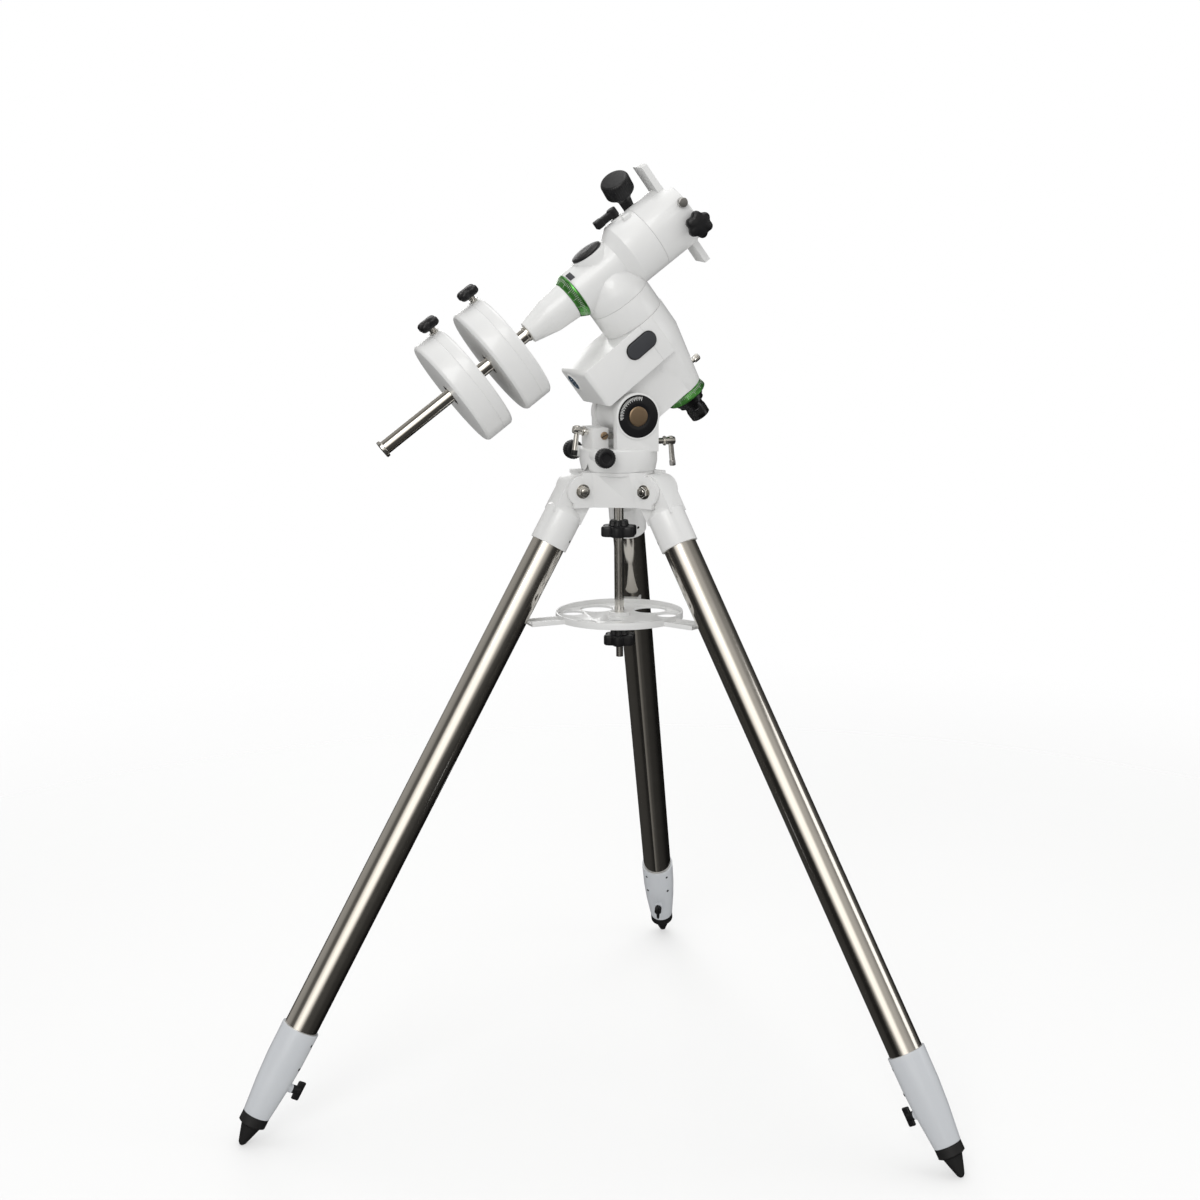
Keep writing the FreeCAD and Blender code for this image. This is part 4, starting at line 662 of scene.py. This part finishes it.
# declination body: cap, clutches, index
capLook = {"plugLow": 25.2, "plug": 9.8, "low": 33.05, "radius": 21.75, "rim": 36,
           "dome": 38.4}
boreCap = lathe(rounded([(0, capLook["plugLow"]), (capLook["plug"], capLook["plugLow"]),
                         (capLook["plug"], capLook["low"]), (capLook["radius"], capLook["low"]),
                         (capLook["radius"], capLook["rim"]),
                         (capLook["radius"] - 3, capLook["rim"] + 1.2),
                         (10, capLook["dome"]), (0, capLook["dome"])], 1.2), 96)
boreCapPiece = finished("boreCap", "bore_cap", "black_plastic", boreCap, decSpace)
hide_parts("polar_bore_cap")


def clutch(name, node, body, place, low, reach, wide, thick):
    arm = roundedBlock((-reach, -wide / 2, low), (4.6, wide / 2, low + thick), 1.6, 4)
    hub = lathe(rounded([(0, low - 0.4), (6.6, low - 0.4), (6.6, low + thick + 0.6),
                         (5.4, low + thick + 1.6), (0, low + thick + 1.6)], 0.8), 64)
    grip = roundedBlock((-reach - 0.6, -wide / 2 - 0.7, low - 0.6),
                        (-reach * 0.62, wide / 2 + 0.7, low + thick + 0.7), 1.5, 4)
    stem = barrel(4.9, low - 12, low + 0.5, 0.4)
    lever = finished(name, body, "black_plastic", together(arm, hub, grip, stem), place)
    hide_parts(node)


clutch("decClutch", "dec_clutch_lever", "dec_clutch", decSpace @ shifted(x=58),
       low=48, reach=28, wide=11.5, thick=9.5)
clutch("raClutch", "ra_clutch_lever", "ra_clutch",
       raSpace @ shifted(z=-56.5) @ turned(-90, "X") @ turned(180, "Z"),
       low=44.2, reach=24, wide=9, thick=7.6)
stopLook = {"low": (60, -20.5, 33), "high": (72, -14, 45.5), "edge": 2.2}
stopBoss = roundedBlock(stopLook["low"], stopLook["high"], stopLook["edge"], 3)
finished("clutchStop", "dec_body", "white_enamel", stopBoss, decSpace)
indexLook = {"low": (-42.6, -6, 31.4), "high": (-35, 6, 32.7), "edge": 0.4, "turn": 32}
indexPlate = roundedBlock(indexLook["low"], indexLook["high"], indexLook["edge"], 2)
finished("decIndex", "dec_body", "grey_steel", indexPlate,
         decSpace @ turned(indexLook["turn"], "X"), "dark_plug")

# declination axis: circle, saddle screws, worm knob
decCircle = {"start": 44.1, "end": 56, "topRadius": 31.3, "lowRadius": 25.5, "bore": 18.1}
shape = lathe(rounded([(decCircle["bore"], decCircle["start"]),
                       (decCircle["topRadius"] - 0.4, decCircle["start"]),
                       (decCircle["topRadius"], decCircle["start"] + 1.2),
                       (decCircle["topRadius"] - 0.5, decCircle["start"] + 3),
                       (decCircle["lowRadius"] + 0.6, decCircle["end"] - 0.8),
                       (decCircle["lowRadius"] - 0.4, decCircle["end"]),
                       (decCircle["bore"], decCircle["end"])], 0.5), 128)
decCirclePiece = finished("decCircle", "dec_circle", "green_anodised", shape, weightSpace,
                          "green_circle")
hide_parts("dec_setting_ring")
decMarks = circleMarks(decCircle["topRadius"] - 0.5, decCircle["start"] + 3,
                       decCircle["lowRadius"] + 0.6, decCircle["end"] - 0.9, 72)
finished("decCircleMarks", "dec_circle", "green_anodised", decMarks, weightSpace, "dial_mark")

starLook = {"x": 130.5, "z": -16, "radius": 18, "start": 46, "end": 60, "lobes": 6,
            "depth": 0.16}
here = decSpace @ shifted(x=starLook["x"], z=starLook["z"]) @ turned(90, "X") @ turned(15, "Z")
star = lathe(rounded([(0, starLook["start"]), (starLook["radius"] - 3, starLook["start"]),
                      (starLook["radius"], starLook["start"] + 3.5),
                      (starLook["radius"], starLook["end"] - 4),
                      (starLook["radius"] - 4, starLook["end"] - 1),
                      (7, starLook["end"]), (0, starLook["end"])], 2), 160, starLook["lobes"],
             starLook["depth"])
starPiece = finished("starKnob", "saddle_knob", "black_plastic", star, here)
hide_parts("saddle_clamp_knob")
saddleStem = {"radius": 3.9, "low": 21.2}
finished("starStem", "saddle_knob", "plated_steel",
         barrel(saddleStem["radius"], saddleStem["low"], 47, 0.6), here)
safetyLook = {"z": 18, "radius": 6.25, "low": 41, "shoulder": 48.2, "top": 49}
here = decSpace @ shifted(x=starLook["x"], z=safetyLook["z"]) @ turned(90, "X")
safetyHead = lathe(rounded([(0, safetyLook["low"]), (safetyLook["radius"], safetyLook["low"]),
                            (safetyLook["radius"], safetyLook["shoulder"]),
                            (5.4, safetyLook["top"]), (0, safetyLook["top"])], 0.5), 96)
safety = together(safetyHead, barrel(saddleStem["radius"], saddleStem["low"], 42, 0.6))
safetyPiece = finished("safetyScrew", "safety_screw", "grey_steel", safety, here)
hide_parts("saddle_safety_screw")

decKnob = {"offset": 46, "under": 42, "rim": 49, "top": 71, "radius": 20, "neck": 9, "neckLow": 14}
here = wormSpace @ shifted(y=decKnob["offset"])
mushroom = lathe(rounded([(0, decKnob["neckLow"]), (7, decKnob["neckLow"]),
                          (decKnob["neck"], decKnob["under"] - 5),
                          (13, decKnob["under"] + 1), (decKnob["radius"], decKnob["rim"]),
                          (decKnob["radius"], decKnob["top"] - 3.2),
                          (decKnob["radius"] - 2.6, decKnob["top"] - 0.2),
                          (0, decKnob["top"] - 0.2)], 1.6), 240, 40, 0.02)
mushroomPiece = finished("decKnob", "dec_worm", "black_plastic", mushroom, here)
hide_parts("dec_slow_motion_knob")
neckRing = lathe(rounded([(3.9, 8.4), (8, 8.4), (8, 10.8), (6.6, 11.2), (6.6, 12), (7.8, 12.4),
                          (7.8, 13.9), (3.9, 13.9)], 0.4), 64)
finished("decNeckRing", "dec_worm", "plated_steel", neckRing, here)
finished("decWorm", "dec_worm", "plated_steel", together(barrel(3.9, 1, 14.5, 0.3),
                                                        barrel(6.6, -19.8, 1.8, 0.5)), here)

# counterweights, locks, bar end
weightLook = {"radius": 75, "thick": 41.5, "bore": 9.06, "bush": 14.8, "groove": 15.5,
              "lock": 9, "knob": 16, "knobLow": 83, "knobTop": 95}
for name, start in (("inner", 146), ("outer", 210)):
    here = weightSpace @ shifted(z=start)
    radius, thick = weightLook["radius"], weightLook["thick"]
    groove = weightLook["groove"]
    outline = [(weightLook["bush"], 0), (radius - 3, 0), (radius, 3), (radius, groove - 0.4),
               (radius - 0.5, groove), (radius, groove + 0.4), (radius, thick - 3.4),
               (radius - 3, thick), (weightLook["bush"], thick - 0.2)]
    weight = finished(name + "Weight", name + "_weight", "white_enamel",
                      lathe(rounded(outline, 1.4), 160), here)
    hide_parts(name + "_counterweight")
    bush = lathe(rounded([(weightLook["bore"], -0.0), (weightLook["bush"] - 1, 0.0),
                          (weightLook["bush"], 1), (weightLook["bush"], thick - 1),
                          (weightLook["bush"] - 1, thick), (weightLook["bore"], thick)], 0.4), 72)
    finished(name + "WeightBush", name + "_weight", "plated_steel", bush, here)
    lock = here @ shifted(z=weightLook["lock"]) @ turned(90, "Y")
    low, top, reach = weightLook["knobLow"], weightLook["knobTop"], weightLook["knob"]
    wheel = lathe(rounded([(0, low), (reach - 3, low), (reach, low + 2.6), (reach, top - 3.6),
                           (reach - 3, top - 1), (6, top), (0, top)], 1.4), 160, 4, 0.3)
    knob = finished(name + "WeightKnob", name + "_weight_lock", "black_plastic", wheel,
                    lock @ turned(45, "Z"))
    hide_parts(name + "_weight_knob")
    finished(name + "WeightScrew", name + "_weight_lock", "plated_steel",
             together(barrel(4.4, 12, 84, 0.4), washer(6.6, 4.4, 76, 77.6)), lock)

barLook = {"radius": 9, "low": 66, "top": 359, "nut": 10.2, "nutLow": 123, "nutTop": 127}
weightBar = lathe(rounded([(0, barLook["low"]), (barLook["radius"], barLook["low"]),
                           (barLook["radius"], barLook["nutLow"]), (barLook["nut"], barLook["nutLow"]),
                           (barLook["nut"], barLook["nutTop"]), (barLook["radius"], barLook["nutTop"]),
                           (barLook["radius"], barLook["top"]), (0, barLook["top"])], 0.3), 96)
barPiece = finished("weightBar", "dec_axis", slotOf["counterweight_shaft"], weightBar, weightSpace)
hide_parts("counterweight_shaft")

endStop = weightSpace @ shifted(z=359)
stopPiece = finished("endStop", "end_stop", "plated_steel",
                     lathe(rounded([(0, 0.02), (11.7, 0.02), (11.7, 4.6), (3, 4.6), (2.4, 3.4),
                                    (0, 3.4)], 0.8), 72), endStop)
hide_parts("shaft_end_stop")
print("head dressed")

# floor, light, camera
floorLook = {"radius": 3.2, "colour": (0.93, 0.93, 0.925), "fadeFrom": 1.1, "fadeOver": 1.6,
             "clear": 0.5}
plane = bmesh.new()
bmesh.ops.create_circle(plane, cap_ends=True, segments=96, radius=floorLook["radius"])
floorMesh = bpy.data.meshes.new("floor")
plane.to_mesh(floorMesh)
plane.free()
floor = bpy.data.objects.new("floor", floorMesh)
floor.location.z = -0.0005
floor.visible_glossy = False
bpy.context.collection.objects.link(floor)
paper = Finish("paperFloor", Base_Color=(*floorLook["colour"], 1), Roughness=0.8)
spread = paper.node("ShaderNodeVectorMath", {"operation": "LENGTH"}, {0: paper.place()}, output="Value")
fade = paper.node("ShaderNodeMapRange", {"interpolation_type": "SMOOTHSTEP"},
                  {"Value": spread, "From Min": floorLook["fadeFrom"],
                   "From Max": floorLook["fadeFrom"] + floorLook["fadeOver"],
                   "To Min": floorLook["clear"]})
clear = paper.tree.nodes.new("ShaderNodeBsdfTransparent")
blend = paper.tree.nodes.new("ShaderNodeMixShader")
paper.tree.links.new(fade.socket, blend.inputs[0])
paper.tree.links.new(paper.shader.outputs[0], blend.inputs[1])
paper.tree.links.new(clear.outputs[0], blend.inputs[2])
paper.tree.links.new(blend.outputs[0], paper.tree.nodes["Material Output"].inputs["Surface"])
floorMesh.materials.append(paper.material)

lamps = {
    "keyLight": {"place": (-1.9, -2.3, 2.7), "size": 1.5, "power": 30, "aim": (0, 0, 0.8)},
    "fillLight": {"place": (2.4, -1.6, 1.4), "size": 1.2, "power": 6, "aim": (0, 0, 0.7)},
    "topLight": {"place": (0.2, 0.4, 3.2), "size": 2.0, "power": 26, "aim": (0, 0, 0.8)},
    "backLight": {"place": (0.4, 2.6, 1.6), "size": 1.0, "power": 8, "aim": (0, 0, 0.9)},
}
for name, look in lamps.items():
    lamp = bpy.data.lights.new(name, "AREA")
    lamp.size = look["size"]
    lamp.energy = look["power"]
    lampPiece = bpy.data.objects.new(name, lamp)
    bpy.context.collection.objects.link(lampPiece)
    lampPiece.location = look["place"]
    aim = Vector(look["aim"]) - Vector(look["place"])
    lampPiece.rotation_euler = aim.to_track_quat("-Z", "Y").to_euler()

# the room: bright and even for soft light, with a few dark walls for the metal to mirror
room = bpy.data.worlds.new("studio")
bpy.context.scene.world = room
room.use_nodes = True
tree = room.node_tree
tree.nodes.clear()
out = tree.nodes.new("ShaderNodeOutputWorld")
roomLook = {"level": 0.66, "shown": 1.0, "under": 0.12,
            "walls": [(0.0, 0.10), (0.05, 0.12), (0.08, 0.95), (0.13, 1.6), (0.19, 1.5), (0.23, 0.55),
                      (0.30, 0.5), (0.36, 0.28), (0.45, 0.22), (0.52, 0.05), (0.66, 0.03),
                      (0.74, 0.3), (0.86, 0.38), (0.95, 0.32), (1.0, 0.10)]}
where = tree.nodes.new("ShaderNodeTexCoord")
apart = tree.nodes.new("ShaderNodeSeparateXYZ")
angle = tree.nodes.new("ShaderNodeMath")
angle.operation = "ARCTAN2"
share = tree.nodes.new("ShaderNodeMapRange")
share.inputs["From Min"].default_value = -math.pi
share.inputs["From Max"].default_value = math.pi
walls = tree.nodes.new("ShaderNodeValToRGB")
stops = walls.color_ramp.elements
while len(stops) < len(roomLook["walls"]):
    stops.new(0.5)
for stop, (place, level) in zip(stops, roomLook["walls"]):
    stop.position = place
    stop.color = (level, level * 0.97, level * 0.92, 1)
tree.links.new(where.outputs["Generated"], apart.inputs[0])
tree.links.new(apart.outputs["Y"], angle.inputs[0])
tree.links.new(apart.outputs["X"], angle.inputs[1])
tree.links.new(angle.outputs[0], share.inputs["Value"])
tree.links.new(share.outputs[0], walls.inputs[0])
mirrored = tree.nodes.new("ShaderNodeBackground")
tree.links.new(walls.outputs[0], mirrored.inputs["Color"])
lower = tree.nodes.new("ShaderNodeMapRange")
lower.inputs["From Min"].default_value = -0.15
lower.inputs["From Max"].default_value = 0.05
lower.inputs["To Min"].default_value = roomLook["under"]
tree.links.new(apart.outputs["Z"], lower.inputs["Value"])
tree.links.new(lower.outputs[0], mirrored.inputs["Strength"])
even = tree.nodes.new("ShaderNodeBackground")
even.inputs["Color"].default_value = (1, 1, 1, 1)
even.inputs["Strength"].default_value = roomLook["level"]
shown = tree.nodes.new("ShaderNodeBackground")
shown.inputs["Color"].default_value = (1, 1, 1, 1)
shown.inputs["Strength"].default_value = roomLook["shown"]
ray = tree.nodes.new("ShaderNodeLightPath")
glossy = tree.nodes.new("ShaderNodeMixShader")
seen = tree.nodes.new("ShaderNodeMixShader")
tree.links.new(ray.outputs["Is Glossy Ray"], glossy.inputs[0])
tree.links.new(even.outputs[0], glossy.inputs[1])
tree.links.new(mirrored.outputs[0], glossy.inputs[2])
tree.links.new(ray.outputs["Is Camera Ray"], seen.inputs[0])
tree.links.new(glossy.outputs[0], seen.inputs[1])
tree.links.new(shown.outputs[0], seen.inputs[2])
tree.links.new(seen.outputs[0], out.inputs["Surface"])
bpy.context.scene.view_settings.view_transform = "Standard"

view = {"place": (-0.9179, -2.2223, 1.1514), "forward": (0.4155, 0.886, -0.2059), "lens": 54.48,
        "roll": 0.16, "shift": (-0.0856, 0.0198)}
camera = bpy.data.cameras.new("camera")
camera.lens = view["lens"]
camera.sensor_width = 36
camera.shift_x, camera.shift_y = view["shift"]
camera.clip_start = 0.05
cameraPiece = bpy.data.objects.new("camera", camera)
bpy.context.collection.objects.link(cameraPiece)
facing = Vector(view["forward"]).to_track_quat("-Z", "Y").to_matrix().to_4x4()
cameraPiece.matrix_world = (Matrix.Translation(view["place"]) @ facing
                            @ turned(view["roll"], "Z"))
bpy.context.scene.camera = cameraPiece
print("stage set")
